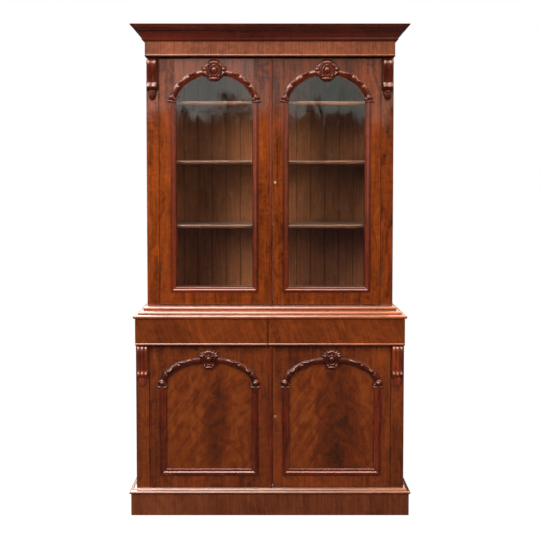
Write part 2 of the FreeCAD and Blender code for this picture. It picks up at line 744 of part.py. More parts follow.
def capital(x, low, width, height, projection):
    """The moulded foot of the carving, wider than the straight moulding that it crowns.
    Each slice is (share of the height, share of the width, share of the projection)."""
    slices = []
    for up, across, out in ((0.0, 0.50, 0.60), (0.12, 0.58, 0.85), (0.3, 0.50, 0.72), (0.5, 0.60, 1.0),
                            (1.0, 0.48, 0.66)):
        left, right, front = x - across * width, x + across * width, -out * projection
        level = low + up * height
        slices.append([Vector(left, 0, level), Vector(right, 0, level), Vector(right, front * 0.6, level),
                       Vector(x, front, level), Vector(left, front * 0.6, level)])
    return carved_from(slices)


def arch_shape(half, rise, foot_low, foot_height, cartouche_height):
    """The carved arch of one door, worked round the middle of the foot of the arch: a rail with two
    leaves on each side, a cartouche at the crown and a capital under each end."""
    width, projection = float(dim.carving_width), float(dim.carving_projection)
    lip = float(dim.moulding_lip) * 0.75
    half, rise = half - lip, rise - lip
    middle, crown = half + width / 2, rise + width / 2
    capital_top = foot_low + foot_height * 0.8
    start = math.asin(min(max(capital_top / crown, 0.0), 0.9))
    badge = cartouche(cartouche_height, projection)
    badge.translate(Vector(0, 0, crown))
    parts = [badge]
    for side in (1, -1):
        parts.append(capital(side * middle, foot_low, width * 1.3, foot_height, projection * 1.1))
        for angle, size in ((28, 1.0), (56, 0.85)):
            turn = math.radians(angle)
            lean = side * math.degrees(math.atan2(middle * math.sin(turn), crown * math.cos(turn)))
            parts.append(swelling(side * middle * math.cos(turn), crown * math.sin(turn),
                                  width * 0.38 * size, projection * 1.02, width * 0.95 * size, -lean,
                                  sides=6))
    return carved_rail(half, rise, width, projection, start).multiFuse(parts).removeSplitter()


# ---- doors ----------------------------------------------------------------------------------

def slide_socket(name, face, low):
    """The hollow that a slide bolt shoots into."""
    x, y = slide_room(face, dim.slide_clearance * 2)
    return board(name, x, y, (low, low + dim.slide_throw + 2))


def slide_room(face, clearance):
    """From side to side and from front to back, a slide bolt with a clearance round it."""
    middle = dim.meeting_place - dim.meeting_gap / 2 - dim.base_astragal_width - dim.slide_inset
    half = dim.slide_width / 2 + clearance
    front = face + dim.door_thickness + dim.slide_plate_thickness + dim.slide_clearance
    return (middle - half, middle + half), (front - clearance, front + dim.slide_thickness + clearance)


def arched_shape(name, middle, front, thickness, half, rise, low, spring):
    """A pane with a straight foot and an elliptical head."""
    foot = board(name + "_foot", (middle - half, middle + half), (front, front + thickness), (low, spring))
    return joined(name, [foot, elliptical_disc(name + "_head", middle, front, thickness, half, rise, spring)])


def elliptical_disc(name, middle, front, thickness, half, rise, spring):
    ring = document.addObject("Part::Ellipse", name + "_ring")
    ring.Placement = FreeCAD.Placement(Vector(), Rotation(Vector(1, 0, 0), 90))
    bind(ring, "MajorRadius", half)
    bind(ring, "MinorRadius", rise)
    place(ring, middle, front, spring)
    disc = document.addObject("Part::Extrusion", name)
    disc.Base = ring
    disc.DirMode = "Custom"
    disc.Dir = Vector(0, 1, 0)
    disc.Solid = True
    bind(disc, "LengthFwd", thickness)
    return disc


# The rise of an arch as a share of half its opening.
BASE_ARCH_ROUNDNESS = 0.5143
UPPER_ARCH_ROUNDNESS = 0.7656


class Door:
    """Where one door stands; side is -1 for a left door and 1 for a right door.  Both openings of a
    pair are as wide as the narrower right door allows."""

    def __init__(self, stage, side):
        self.side = side
        self.name = f"{stage}_{'left' if side < 0 else 'right'}_door"
        self.upper = stage == "upper"
        outside = upper_half - dim.upper_pilaster_width if self.upper else base_half - dim.base_pilaster_width
        self.face = upper_face if self.upper else base_face
        self.rear = self.face + dim.door_thickness
        self.low = upper_door_bottom if self.upper else base_door_bottom
        self.high = upper_door_top if self.upper else base_door_top
        self.axis = (outside - dim.hinge_gap / 2) * side
        self.hinge_edge = (outside - dim.hinge_gap) * side
        self.meeting_edge = dim.meeting_place + dim.meeting_gap / 2 * side
        self.astragal = dim.upper_astragal_width if self.upper else dim.base_astragal_width
        self.clear_edge = self.meeting_edge - self.astragal if side < 0 else self.meeting_edge
        self.middle = (self.hinge_edge + self.clear_edge) / 2
        stile = dim.upper_stile_width if self.upper else dim.base_stile_width
        narrow_door = outside - dim.hinge_gap - dim.meeting_place - dim.meeting_gap / 2
        self.half = narrow_door / 2 - stile
        self.rise = self.half * (UPPER_ARCH_ROUNDNESS if self.upper else BASE_ARCH_ROUNDNESS)
        self.rail = dim.upper_rail_height if self.upper else dim.base_rail_height
        head = dim.upper_head_height if self.upper else dim.base_head_height
        self.spring = self.high - head - self.rise
        self.foot_low = dim.upper_foot_rise if self.upper else dim.base_foot_rise
        self.foot_height = dim.upper_foot_height if self.upper else dim.base_foot_height
        self.hinges = (self.low + dim.hinge_end, self.high - dim.hinge_end - dim.hinge_height)
        self.lock_middle = (self.low + self.high) / 2


def ordered(one, other):
    return (one, other) if float(one) < float(other) else (other, one)


def door_frame(door):
    """Two stiles with a bottom rail and an arched top rail between them."""
    name, depth = door.name, (door.face, door.rear)
    inner = (door.middle - door.half, door.middle + door.half)
    hinge_inner = inner[0] if door.side < 0 else inner[1]
    meeting_inner = inner[1] if door.side < 0 else inner[0]
    height = (door.low, door.high)
    hinge_blank = board(name + "_hinge_blank", ordered(door.hinge_edge, hinge_inner), depth, height)
    hinge_stile = cut_away(name + "_hinge_stile", hinge_blank,
                           hinge_notches(name, door.axis, door.face, door.hinges))
    meeting_blank = board(name + "_meeting_blank", ordered(door.meeting_edge, meeting_inner), depth, height)
    meeting_stile = cut_away(name + "_meeting_stile", meeting_blank, lock_hollows(door))
    bottom_rail = board(name + "_bottom_rail", inner, depth, (door.low, door.low + door.rail))
    top_blank = board(name + "_top_blank", inner, depth, (door.spring, door.high))
    opening = elliptical_disc(name + "_arch_hollow", door.middle, door.face - 1, dim.door_thickness + 2,
                              door.half, door.rise, door.spring)
    top_rail = cut_away(name + "_top_rail", top_blank, [opening])
    together(name + "_frame", [hinge_stile, meeting_stile, bottom_rail, top_rail])


def lock_hollows(door):
    """A right door takes the lock and its keyhole, a left door takes the bolt of the lock."""
    name = door.name
    low = door.lock_middle - dim.lock_height / 2
    if door.side < 0:
        bolt_low = door.lock_middle - dim.lock_bolt_height / 2 - 0.5
        near = door.meeting_edge - dim.lock_throw - 2
        y = bolt_line(door) - dim.lock_bolt_thickness / 2 - 0.5
        return [board(name + "_bolt_mortise", (near, door.meeting_edge + 1),
                      (y, y + dim.lock_bolt_thickness + 1), (bolt_low, bolt_low + dim.lock_bolt_height + 1))]
    mortise = board(name + "_lock_mortise", (door.meeting_edge - 1, door.meeting_edge + dim.lock_width),
                    (door.rear - dim.lock_depth, door.rear + 1), (low, low + dim.lock_height))
    keyhole = faceted_rod(name + "_keyhole", door.meeting_edge + dim.keyhole_inset, door.face - 1,
                          door.lock_middle, dim.keyhole_radius, dim.door_thickness, "Y")
    return [mortise, keyhole]


def bolt_line(door):
    return door.rear - dim.lock_depth / 2


def door_filling(door):
    """Glass held by beads in an upper door, a veneered panel in a base door."""
    name = door.name
    half, rise = door.half - dim.fit, door.rise - dim.fit
    low = door.low + door.rail + dim.fit
    if not door.upper:
        arched_shape(name + "_panel", door.middle, door.face + dim.panel_recess, dim.panel_thickness,
                     half, rise, low, door.spring)
        return []
    arched_shape(name + "_glass", door.middle, door.face + dim.fit, dim.glass_thickness, half, rise,
                 low, door.spring)
    front = door.face + dim.fit + dim.glass_thickness
    depth = (front, door.rear)
    left, right = door.middle - door.half, door.middle + door.half
    bead, foot = dim.bead_width, door.low + door.rail
    head_blank = elliptical_disc(name + "_bead_head", door.middle, front, door.rear - front,
                                 half, rise, door.spring)
    head_hollow = elliptical_disc(name + "_bead_hollow", door.middle, front - 1, door.rear - front + 2,
                                  door.half - bead, door.rise - bead, door.spring)
    lower_half = board(name + "_bead_lower", (left - 1, right + 1), (front - 1, door.rear + 1),
                       (door.spring - door.rise - 1, door.spring))
    return [board(name + "_bead_left", (left, left + bead), depth, (foot, door.spring)),
            board(name + "_bead_right", (right - bead, right), depth, (foot, door.spring)),
            board(name + "_bead_foot", (left + bead, right - bead), depth, (foot, foot + bead)),
            cut_away(name + "_bead_arch", head_blank, [head_hollow, lower_half])]


def door_moulding(door, beads):
    """The applied moulding up both sides and across the foot of the opening, under the capitals."""
    width = dim.upper_moulding_width if door.upper else dim.base_moulding_width
    name, out = door.name, dim.moulding_projection
    inner = door.half - dim.moulding_lip
    lip_depth = dim.fit if door.upper else dim.panel_recess
    top = door.spring + door.foot_low
    foot = door.low + door.rail + dim.moulding_lip
    left = door.middle - inner
    body = new_body(name + "_straight_moulding")
    # Seen from above at the head of the left leg: the outer edge is to the left, the front is down.
    section = [(left - width, door.face), (left - width, door.face - out * 0.3),
               (left - width * 0.88, door.face - out * 0.3, width * 0.45),
               (left - width * 0.35, door.face - out * 0.55), (left - width * 0.28, door.face - out * 0.4,
                                                               width * 0.5),
               (left, door.face - out * 0.15), (left, door.face + lip_depth),
               (left - dim.moulding_lip, door.face + lip_depth), (left - dim.moulding_lip, door.face)]
    profile = outline(body, name + "_moulding_section", "XY_Plane", top, section)
    spine = sketch_on(body, name + "_moulding_path", "XZ_Plane", -door.face)
    route = [(left, top), (left, foot), (door.middle + inner, foot), (door.middle + inner, top)]
    for index, (start, finish) in enumerate(zip(route, route[1:])):
        spine.addGeometry(Part.LineSegment(Vector(float(start[0]), float(start[1]), 0),
                                           Vector(float(finish[0]), float(finish[1]), 0)))
        fix_point(spine, index, 1, start[0], start[1])
        if index:
            spine.addConstraint(Sketcher.Constraint("Coincident", index - 1, 2, index, 1))
    fix_point(spine, len(route) - 2, 2, route[-1][0], route[-1][1])
    pipe = body.newObject("PartDesign::AdditivePipe", name + "_moulding_run")
    pipe.Profile = profile
    pipe.Spine = (spine, ["Edge1", "Edge2", "Edge3"])
    pipe.Transition = "Right corner"
    pieces = [body] + beads
    if door.side < 0:
        pieces.append(astragal(door))
    together(name + "_moulding", pieces)


def astragal(door):
    """The bead that covers the joint between a pair of doors."""
    width, out = door.astragal, dim.astragal_projection
    left, right, face = door.clear_edge, door.meeting_edge, door.face
    shoulder = out * 0.3
    section = [(left, face), (left, face - shoulder), (left + width * 0.12, face - shoulder,
               bulge_radius(width * 0.76, out * 0.7)), (right - width * 0.12, face - shoulder),
               (right, face - shoulder), (right, face)]
    return prism(door.name + "_astragal", "XY_Plane", door.low, door.high, section)


def door_arch(door):
    shape = arch_shape(float(door.half), float(door.rise), float(door.foot_low), float(door.foot_height),
                       float(dim.upper_cartouche_height if door.upper else dim.base_cartouche_height))
    solid_feature(door.name + "_arch", shape, door.middle, door.face, door.spring)


# ---- brassware ------------------------------------------------------------------------------

def hinge(door, number, low):
    """A butt hinge: the case leaf has the lower knuckle and the pin, the door leaf the upper knuckle."""
    name = f"{door.name}_hinge_{number}"
    gap = dim.knuckle_clearance / 2
    radius, axis, face = dim.knuckle_radius, door.axis, door.face
    start = face + radius + dim.knuckle_clearance
    middle, top = low + dim.hinge_height / 2, low + dim.hinge_height
    outer = dim.hinge_gap / 2 * door.side
    inner = outer - dim.leaf_thickness * door.side
    leaves = []
    for mark, x, knuckle in (("door", (axis - outer, axis - inner), (middle + gap, top)),
                             ("case", (axis + inner, axis + outer), (low, middle - gap))):
        x = ordered(*x)
        parts = [board(f"{name}_{mark}_plate", x, (start, face + dim.leaf_width), (low, top)),
                 board(f"{name}_{mark}_strap", x, (face, start), knuckle),
                 faceted_rod(f"{name}_{mark}_knuckle", axis, face, knuckle[0], radius,
                             knuckle[1] - knuckle[0])]
        leaves.append(parts)
    door_parts, case_parts = leaves
    case_parts.append(rod(name + "_pin", axis, face, low, dim.pin_radius, dim.hinge_height))
    bore = rod(name + "_bore", axis, face, low - 1, dim.pin_radius + dim.pin_clearance, dim.hinge_height + 2)
    door_leaf = cut_away(name + "_door_leaf", joined(name + "_door_body", door_parts), [bore])
    return door_leaf, joined(name + "_case_leaf", case_parts)


def lock(door):
    """A cut lock let into the back of the meeting stile, with its bolt and its escutcheon."""
    name = door.name
    edge, middle, line = door.meeting_edge, door.lock_middle, bolt_line(door)
    low = middle - dim.lock_height / 2
    case = board(name + "_lock_blank", (edge, edge + dim.lock_width), (door.rear - dim.lock_depth, door.rear),
                 (low, low + dim.lock_height))
    room = dim.seat
    bolt_y = (line - dim.lock_bolt_thickness / 2, line + dim.lock_bolt_thickness / 2)
    bolt_z = (middle - dim.lock_bolt_height / 2, middle + dim.lock_bolt_height / 2)
    channel = board(name + "_bolt_channel", (edge - 1, edge + dim.lock_bolt_length + 2),
                    (bolt_y[0] - room, bolt_y[1] + room), (bolt_z[0] - room, bolt_z[1] + room))
    stage = "upper" if door.upper else "base"
    board(f"{stage}_lock_bolt", (edge + 0.5, edge + 0.5 + dim.lock_bolt_length), bolt_y, bolt_z)
    x = edge + dim.keyhole_inset
    plate = faceted_rod(name + "_escutcheon_plate", x, door.face - dim.escutcheon_thickness, middle,
                        dim.escutcheon_width / 2, dim.escutcheon_thickness, "Y")
    keyhole = faceted_rod(name + "_escutcheon_hole", x, door.face - 5, middle, dim.keyhole_radius,
                          Dim(10.0, "10"), "Y")
    return [cut_away(name + "_lock_case", case, [channel]), cut_away(name + "_escutcheon", plate, [keyhole])]


def slide_bolt(door):
    """A flat brass bolt in two staples on the back of a left door: it shoots down in the upper case
    and up in the base."""
    name = door.name
    (left, right), (front, rear) = slide_room(door.face, Dim(0.0, "0"))
    if door.upper:
        low = door.low + dim.board_thickness + 1
        plate_low, knob_place = low + 4, low + dim.slide_length * 0.6
    else:
        low = door.high - dim.board_thickness - 1 - dim.slide_length
        plate_low, knob_place = low - 4, low + dim.slide_length * 0.4
    plate_rear = door.rear + dim.slide_plate_thickness
    middle, half = (left + right) / 2, dim.slide_plate_width / 2
    pieces = [board(name + "_slide_plate", (middle - half, middle + half), (door.rear, plate_rear),
                    (plate_low, plate_low + dim.slide_length))]
    hollow_x, hollow_y = slide_room(door.face, dim.slide_clearance)
    for mark, foot in (("lower", plate_low + 6),
                       ("upper", plate_low + dim.slide_length - dim.slide_guide_height - 6)):
        block = board(f"{name}_{mark}_staple_blank", (left - 3, right + 3), (plate_rear, rear + 2),
                      (foot, foot + dim.slide_guide_height))
        hollow = board(f"{name}_{mark}_staple_hollow", hollow_x, hollow_y,
                       (foot - 1, foot + dim.slide_guide_height + 1))
        pieces.append(cut_away(f"{name}_{mark}_staple", block, [hollow]))
    stage = "upper" if door.upper else "base"
    joined(f"{stage}_slide_bolt", [
        board(name + "_slide_bar", (left, right), (front, rear), (low, low + dim.slide_length)),
        faceted_rod(name + "_slide_knob", middle, front, knob_place, dim.slide_knob_radius,
                    dim.slide_knob_length, "Y")])
    return pieces


# ---- drawers --------------------------------------------------------------------------------

def drawer(name, left, right, box_left, box_right):
    """A frieze drawer: a show front with a bead along its lower edge, and a lined box behind it."""
    front = drawer_face
    rear = base_face - dim.seat
    bead = bulge_radius(dim.drawer_bead_height, dim.drawer_bead_projection)
    section = [(front, drawer_bottom), (rear, drawer_bottom), (rear, drawer_top), (front, drawer_top),
               (front, drawer_bottom + dim.drawer_bead_height, bead)]
    prism(name + "_front", "YZ_Plane", left, right, section)
    lining, low = dim.drawer_lining, base_door_top + dim.seat
    high = low + dim.drawer_box_height
    end = rear + dim.drawer_box_depth
    floor = low + dim.drawer_bottom_thickness
    inner = (box_left + lining, box_right - lining)
    together(name + "_box", [
        board(name + "_lining", inner, (rear, rear + lining), (drawer_bottom, high)),
        board(name + "_side_left", (box_left, box_left + lining), (rear, end), (low, high)),
        board(name + "_side_right", (box_right - lining, box_right), (rear, end), (low, high)),
        board(name + "_back", inner, (end - lining, end), (floor, high)),
        board(name + "_bottom", inner, (rear + lining, end), (low, floor))])


def drawers():
    split, gap = dim.drawer_split, dim.meeting_gap / 2
    room = dim.drawer_clearance
    wall = dim.side_thickness / 2
    edge = base_half - dim.base_pilaster_width
    drawer("left_drawer", -base_half, split - gap, room - edge, split - wall - room)
    drawer("right_drawer", split + gap, base_half, split + wall + room, edge - room)


# ---- the whole bookcase ---------------------------------------------------------------------

doors = [Door(stage, side) for stage in ("base", "upper") for side in (-1, 1)]

plinth()
base_case(doors[0].hinges)
waist_moulding()
upper_case(doors[2].hinges)
frieze()
cornice()
corbels("base_corbels", 3, base_half, dim.base_pilaster_width, base_face, drawer_bottom - dim.seat,
        dim.base_corbel_depth)
corbels("upper_corbels", 2, upper_half, dim.upper_pilaster_width, upper_face, frieze_bottom,
        dim.upper_corbel_depth)
drawers()
case_leaves = []
for door in doors:
    door_frame(door)
    door_moulding(door, door_filling(door))
    door_arch(door)
    leaves = [hinge(door, number, low) for number, low in enumerate(door.hinges, start=1)]
    case_leaves += [case_leaf for door_leaf, case_leaf in leaves]
    fittings = slide_bolt(door) if door.side < 0 else lock(door)
    together(door.name + "_brassware", [door_leaf for door_leaf, case_leaf in leaves] + fittings)
together("case_hinge_leaves", case_leaves)

NODES = (
    ["plinth_frame", "plinth_moulding", "base_bottom_rail", "base_side_left", "base_side_right",
     "base_pilaster_left", "base_pilaster_right", "base_bottom_board", "base_dust_board", "base_shelf",
     "base_back_boards", "base_top_board", "drawer_guides", "base_corbels", "waist_moulding",
     "upper_side_left", "upper_side_right", "upper_pilaster_left", "upper_pilaster_right",
     "upper_bottom_board", "upper_top_board", "upper_top_rail", "upper_back_boards", "shelf_lower",
     "shelf_middle", "shelf_top", "shelf_bearers", "frieze", "cornice", "upper_corbels",
     "case_hinge_leaves", "left_drawer_front", "left_drawer_box", "right_drawer_front",
     "right_drawer_box", "upper_lock_bolt", "base_lock_bolt", "upper_slide_bolt", "base_slide_bolt"]
    + [f"{door.name}_{piece}" for door in doors
       for piece in ("frame", "glass" if door.upper else "panel", "moulding", "arch", "brassware")]
)

document.recompute()
for thing in document.Objects:
    if "Invalid" in thing.State or "Error" in thing.State:
        raise SystemExit(f"{thing.Label} failed: {thing.State}")
for cut in pockets:
    before = cut.BaseFeature.Shape.Volume
    if cut.Shape.Volume >= before - 1e-6:
        raise SystemExit(f"{cut.Label} cuts nothing")
os.makedirs("parts", exist_ok=True)
for node in NODES:
    piece = document.getObject(node)
    if piece.Shape.isNull() or not piece.Shape.isValid():
        raise SystemExit(f"{node} has no valid shape")
for node in NODES:
    document.getObject(node).Shape.exportStep(f"parts/{node}.step")
print(len(NODES), "nodes written")
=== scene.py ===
import json
from math import asin, copysign, cos, degrees, exp, hypot, pi, radians, sin, sqrt

import bpy
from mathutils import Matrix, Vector

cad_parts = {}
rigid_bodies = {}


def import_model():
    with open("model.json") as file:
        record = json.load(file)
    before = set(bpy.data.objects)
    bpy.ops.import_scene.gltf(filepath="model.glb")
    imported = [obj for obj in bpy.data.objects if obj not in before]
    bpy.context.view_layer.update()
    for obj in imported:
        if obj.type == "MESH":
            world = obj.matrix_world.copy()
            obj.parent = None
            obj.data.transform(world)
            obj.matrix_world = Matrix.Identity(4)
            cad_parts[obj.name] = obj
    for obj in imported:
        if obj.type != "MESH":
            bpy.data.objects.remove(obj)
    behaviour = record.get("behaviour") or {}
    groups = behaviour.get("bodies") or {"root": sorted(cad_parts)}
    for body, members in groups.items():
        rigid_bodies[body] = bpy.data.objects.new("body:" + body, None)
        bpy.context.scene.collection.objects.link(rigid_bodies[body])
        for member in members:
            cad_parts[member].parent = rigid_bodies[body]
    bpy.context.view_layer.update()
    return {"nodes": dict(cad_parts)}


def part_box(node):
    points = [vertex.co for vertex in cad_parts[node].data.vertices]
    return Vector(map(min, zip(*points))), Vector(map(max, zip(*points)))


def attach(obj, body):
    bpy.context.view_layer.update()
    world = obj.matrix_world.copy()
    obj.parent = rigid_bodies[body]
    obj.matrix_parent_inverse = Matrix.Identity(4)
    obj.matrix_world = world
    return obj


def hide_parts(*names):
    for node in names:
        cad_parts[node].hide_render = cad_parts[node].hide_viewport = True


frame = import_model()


# ---- The studio ----
# A pale floor that runs out of sight under a white sky, and soft lamps on both sides, behind and
# overhead.  The polish does not mirror the lamps but a dim room, which only its rays can see.

FLOOR_SPREAD = 60.0
EYE = (0.0, -3.508, 1.568)
TIP_DOWN = radians(2)
LENS = 46.0
FRAME_DROP = -0.1035
LAMPS = (
    # name, place, where it points, width and height, watts, colour
    ("window_lamp", (-2.5, -3.0, 3.1), (-0.1, 0.0, 0.8), (1.8, 1.8), 150, (1.0, 0.92, 0.84)),
    ("room_lamp", (2.8, -2.9, 2.3), (0.2, 0.0, 0.8), (1.6, 2.0), 90, (1.0, 0.84, 0.68)),
    ("back_lamp", (0.6, 4.2, 2.6), (0.0, 0.2, 1.1), (2.5, 2.5), 90, (1.0, 0.93, 0.85)),
    ("ceiling_lamp", (-0.2, -1.7, 4.2), (0.0, -0.1, 0.9), (2.8, 1.0), 40, (1.0, 0.92, 0.84)),
)
PALE = (1.0, 1.0, 1.0, 1)
DIM = (0.06, 0.06, 0.06, 1)
FLOOR_GLEAM = (0.035, 0.04, 0.065, 1)
CEILING_LEFT, CEILING_RIGHT = (17.0, 13.5, 12.5, 1), (10.0, 4.6, 2.6, 1)
WALL_LEFT, WALL_RIGHT = (1.5, 1.0, 0.85, 1), (1.2, 0.65, 0.4, 1)
WINDOW_LEFT, WINDOW_RIGHT = (1.6, 1.72, 1.68, 1), (1.15, 1.25, 1.13, 1)
TREES = {"Scale": 16, "Detail": 5, "Distortion": 1.5}


def wire(tree, node, links):
    """Gives each input socket of a node a number, a colour or the output of another node."""
    for socket, value in links.items():
        if isinstance(value, bpy.types.NodeSocket):
            tree.links.new(value, node.inputs[socket])
        else:
            node.inputs[socket].default_value = value


def set_up(thing, settings):
    for name, value in settings.items():
        setattr(thing, name, value)
    return thing


def add_node(tree, kind, links=None, **settings):
    """Adds a node and gives back its outputs."""
    node = set_up(tree.nodes.new("ShaderNode" + kind), settings)
    wire(tree, node, links or {})
    return node.outputs


def maths(tree, operation, *values, clamp=False):
    return add_node(tree, "Math", dict(enumerate(values)), operation=operation, use_clamp=clamp)[0]


def times(tree, first, second):
    return maths(tree, "MULTIPLY", first, second)


def minus(tree, first, second, clamp=False):
    return maths(tree, "SUBTRACT", first, second, clamp=clamp)


def plus(tree, total, *values):
    for value in values:
        total = maths(tree, "ADD", total, value)
    return total


def mixed(tree, share, first, second, kind="MIX"):
    """Blends from one colour to another."""
    return add_node(tree, "Mix", {0: share, 6: first, 7: second}, data_type="RGBA", blend_type=kind)[2]


def split(tree, vector):
    return add_node(tree, "SeparateXYZ", {0: vector})


def swing(tree, value, amount):
    """Noise about zero, from minus half the amount to plus half."""
    return times(tree, minus(tree, value, 0.5), amount)


def blank(name):
    """A new material, its tree and its shader."""
    material = bpy.data.materials.new(name)
    material.use_nodes = True
    return material, material.node_tree, material.node_tree.nodes["Principled BSDF"]


def seen(tree):
    """1 where the eye looks straight at something or through glass, 0 in mirrored and stray light."""
    path = add_node(tree, "LightPath")
    unturned = maths(tree, "LESS_THAN", plus(tree, path["Diffuse Depth"], path["Glossy Depth"]), 0.5)
    return maths(tree, "MAXIMUM", path["Is Camera Ray"], times(tree, path["Is Transmission Ray"], unturned))


def looking(tree, axis, low, high, ragged=0.0):
    """From 0 to 1 as the direction looked in turns along an axis, from low to high; ragged by trees."""
    way = add_node(tree, "TexCoord")["Generated"]
    level = split(tree, way)[axis]
    if ragged:
        trees = add_node(tree, "TexNoise", {"Vector": way, **TREES})[0]
        level = plus(tree, level, swing(tree, trees, ragged))
    return add_node(tree, "MapRange", {0: level, 1: low, 2: high}, interpolation_type="SMOOTHSTEP")[0]


bpy.ops.mesh.primitive_plane_add(size=FLOOR_SPREAD, location=(0, 0, 0))
floor = bpy.context.object
floor.name = "studio_floor"
floor_paint, tree, shader = blank("pale_floor")
wire(tree, shader, {"Base Color": DIM, "Roughness": 1.0, "Specular IOR Level": 0.0,
    "Emission Strength": 1.0, "Emission Color": mixed(tree, seen(tree), FLOOR_GLEAM, PALE)})
floor.data.materials.append(floor_paint)

for name, place, target, spread, power, colour in LAMPS:
    bpy.ops.object.light_add(type="AREA", location=place)
    lamp = bpy.context.object
    lamp.name = name
    lamp.data.shape = "RECTANGLE"
    lamp.data.size, lamp.data.size_y = spread
    lamp.data.energy = power
    lamp.data.color = colour
    lamp.visible_glossy = False
    lamp.rotation_euler = (Vector(target) - Vector(place)).to_track_quat("-Z", "Y").to_euler()

# The sky shows white to the eye.  In the polish it is a dim room with a wall on each side, a band
# of window whose lower edge is ragged with trees, and a bright ceiling.
world = bpy.data.worlds.new("white_sky")
bpy.context.scene.world = world
world.use_nodes = True
sky = world.node_tree
path = add_node(sky, "LightPath")
gleam = maths(sky, "MAXIMUM", path["Is Glossy Ray"], path["Is Transmission Ray"])
gleam = times(sky, gleam, maths(sky, "LESS_THAN", path["Diffuse Depth"], 0.5))
ceiling = mixed(sky, looking(sky, "X", -0.12, 0.2), CEILING_LEFT, CEILING_RIGHT)
window = mixed(sky, looking(sky, "X", -0.05, 0.14), WINDOW_LEFT, WINDOW_RIGHT)
mirrored = DIM
for axis, start, full, ragged, colour in (
        ("X", 0.55, 0.75, 0.0, WALL_RIGHT), ("X", -0.55, -0.75, 0.0, WALL_LEFT),
        ("Z", 0.104, 0.122, 0.16, window), ("Z", 0.176, 0.214, 0.0, DIM), ("Z", 0.3, 0.55, 0.0, ceiling)):
    mirrored = mixed(sky, looking(sky, axis, start, full, ragged), mirrored, colour)
wire(sky, sky.nodes["Background"], {"Color": mixed(sky, seen(sky), mixed(sky, gleam, DIM, mirrored), PALE)})
bpy.context.scene.view_settings.view_transform = "Standard"

bpy.ops.object.camera_add(location=EYE, rotation=(pi / 2 - TIP_DOWN, 0, 0))
camera = bpy.context.object
camera.name = "eye_height_camera"
camera.data.lens = LENS
camera.data.shift_y = FRAME_DROP
bpy.context.scene.camera = camera


# ---- The plinth ----
# Four mahogany boards stand on the floor, with a rounded moulding glued on top, mitred at the
# front corners.  The boards are duller than the rest, scuffed by shoes and brooms.

PLINTH_BOARD = 0.03
PLINTH_CORNER = (0.646, -0.21)
EASED = 0.0012
WELD = 0.00001
FLAT_UNDER, ROUND_UNDER = radians(0.5), radians(37)
UMBER, RUSSET = (0.04, 0.007, 0.0012, 1), (0.3, 0.062, 0.008, 1)
# The second colour here is that of dirt in carvings, seams and joints; it also darkens the grooves of the
# door mouldings and is the painted shade under the frieze.
PORE, DIRT_AND_SHADE = (0.02, 0.006, 0.003, 1), (0.01, 0.0035, 0.002, 1)
WORN, DUST = (1.3, 1.18, 1.05, 1), (0.42, 0.36, 0.31, 1)
NEXT_CUT = (7.3, 4.1, 2.9)
DULLED = 0.6
SHEEN = 0.15
SLANT = 0.35
GRAIN_TURN = {"upright": (0, 0, 0), "level": (0, pi / 2, 0), "deep": (pi / 2, 0, 0), "slanted": (0, SLANT, 0)}


def group_with(name, inputs, outputs):
    """An empty node group, what it is given and its last node.  Rows are (name, kind, value)."""
    group = bpy.data.node_groups.new(name, "ShaderNodeTree")
    for way, rows in (("INPUT", inputs), ("OUTPUT", outputs)):
        for row in rows:
            socket = group.interface.new_socket(row[0], in_out=way, socket_type="NodeSocket" + row[1])
            if len(row) > 2:
                socket.default_value = row[2]
    return group, group.nodes.new("NodeGroupInput").outputs, group.nodes.new("NodeGroupOutput")


def between(tree, value, low, high, start=0.0, end=1.0):
    """The value from low to high, spread over start to end."""
    return add_node(tree, "MapRange", {0: value, 1: low, 2: high, 3: start, 4: end})[0]


def noise(tree, vector, per_metre, detail=3.0, distortion=0.0):
    """Noise whose features repeat that many times in a metre along each axis."""
    spread = add_node(tree, "Mapping", {"Vector": vector, "Scale": per_metre})[0]
    return add_node(tree, "TexNoise", {"Vector": spread, "Scale": 1.0, "Detail": detail,
        "Distortion": distortion})[0]


def relief(tree, height, strength, distance):
    return add_node(tree, "Bump", {"Height": height, "Strength": strength, "Distance": distance})[0]


# Mahogany: light and dark ribbons along the grain, a mottle across it, and pores that lie as
# short dark dashes.  The grain runs along Z of the vector that the group is given.
grown, given, made = group_with(
    "Mahogany figure",
    [("Vector", "Vector"), ("Dark", "Color", UMBER), ("Light", "Color", RUSSET),
     ("Ribbon", "Float", 1.6), ("Mottle", "Float", 0.8), ("Tone", "Float", 0.5)],
    [("Color", "Color"), ("Roughness", "Float"), ("Height", "Float")])
grain = given["Vector"]
wander = swing(grown, noise(grown, grain, (2.5, 2.5, 5), 2), 0.09)
curled = add_node(grown, "CombineXYZ", {0: wander, 1: wander, 2: times(grown, wander, 0.5)})[0]
curled = add_node(grown, "VectorMath", {0: grain, 1: curled}, operation="ADD")[0]
ribbon = noise(grown, curled, (26, 26, 2.7), 4, 1.5)
mottle = noise(grown, curled, (15, 15, 20), 3, 2.4)
fibre = noise(grown, grain, (210, 210, 6), 3)
cloud = noise(grown, grain, (3.1, 3.1, 1.5), 2, 0.6)
pores = between(grown, noise(grown, grain, (950, 950, 34), 1), 0.6, 0.74)
tone = plus(grown, swing(grown, ribbon, given["Ribbon"]), swing(grown, mottle, given["Mottle"]),
    swing(grown, fibre, 0.75), swing(grown, cloud, 1.1), given["Tone"])
tone = maths(grown, "MULTIPLY", tone, 1.0, clamp=True)
wood = mixed(grown, tone, given["Dark"], given["Light"])
wire(grown, made, {
    "Color": mixed(grown, times(grown, pores, 0.6), wood, PORE),
    "Roughness": plus(grown, times(grown, fibre, 0.14), times(grown, pores, 0.15)),
    "Height": minus(grown, times(grown, fibre, 0.35), pores)})

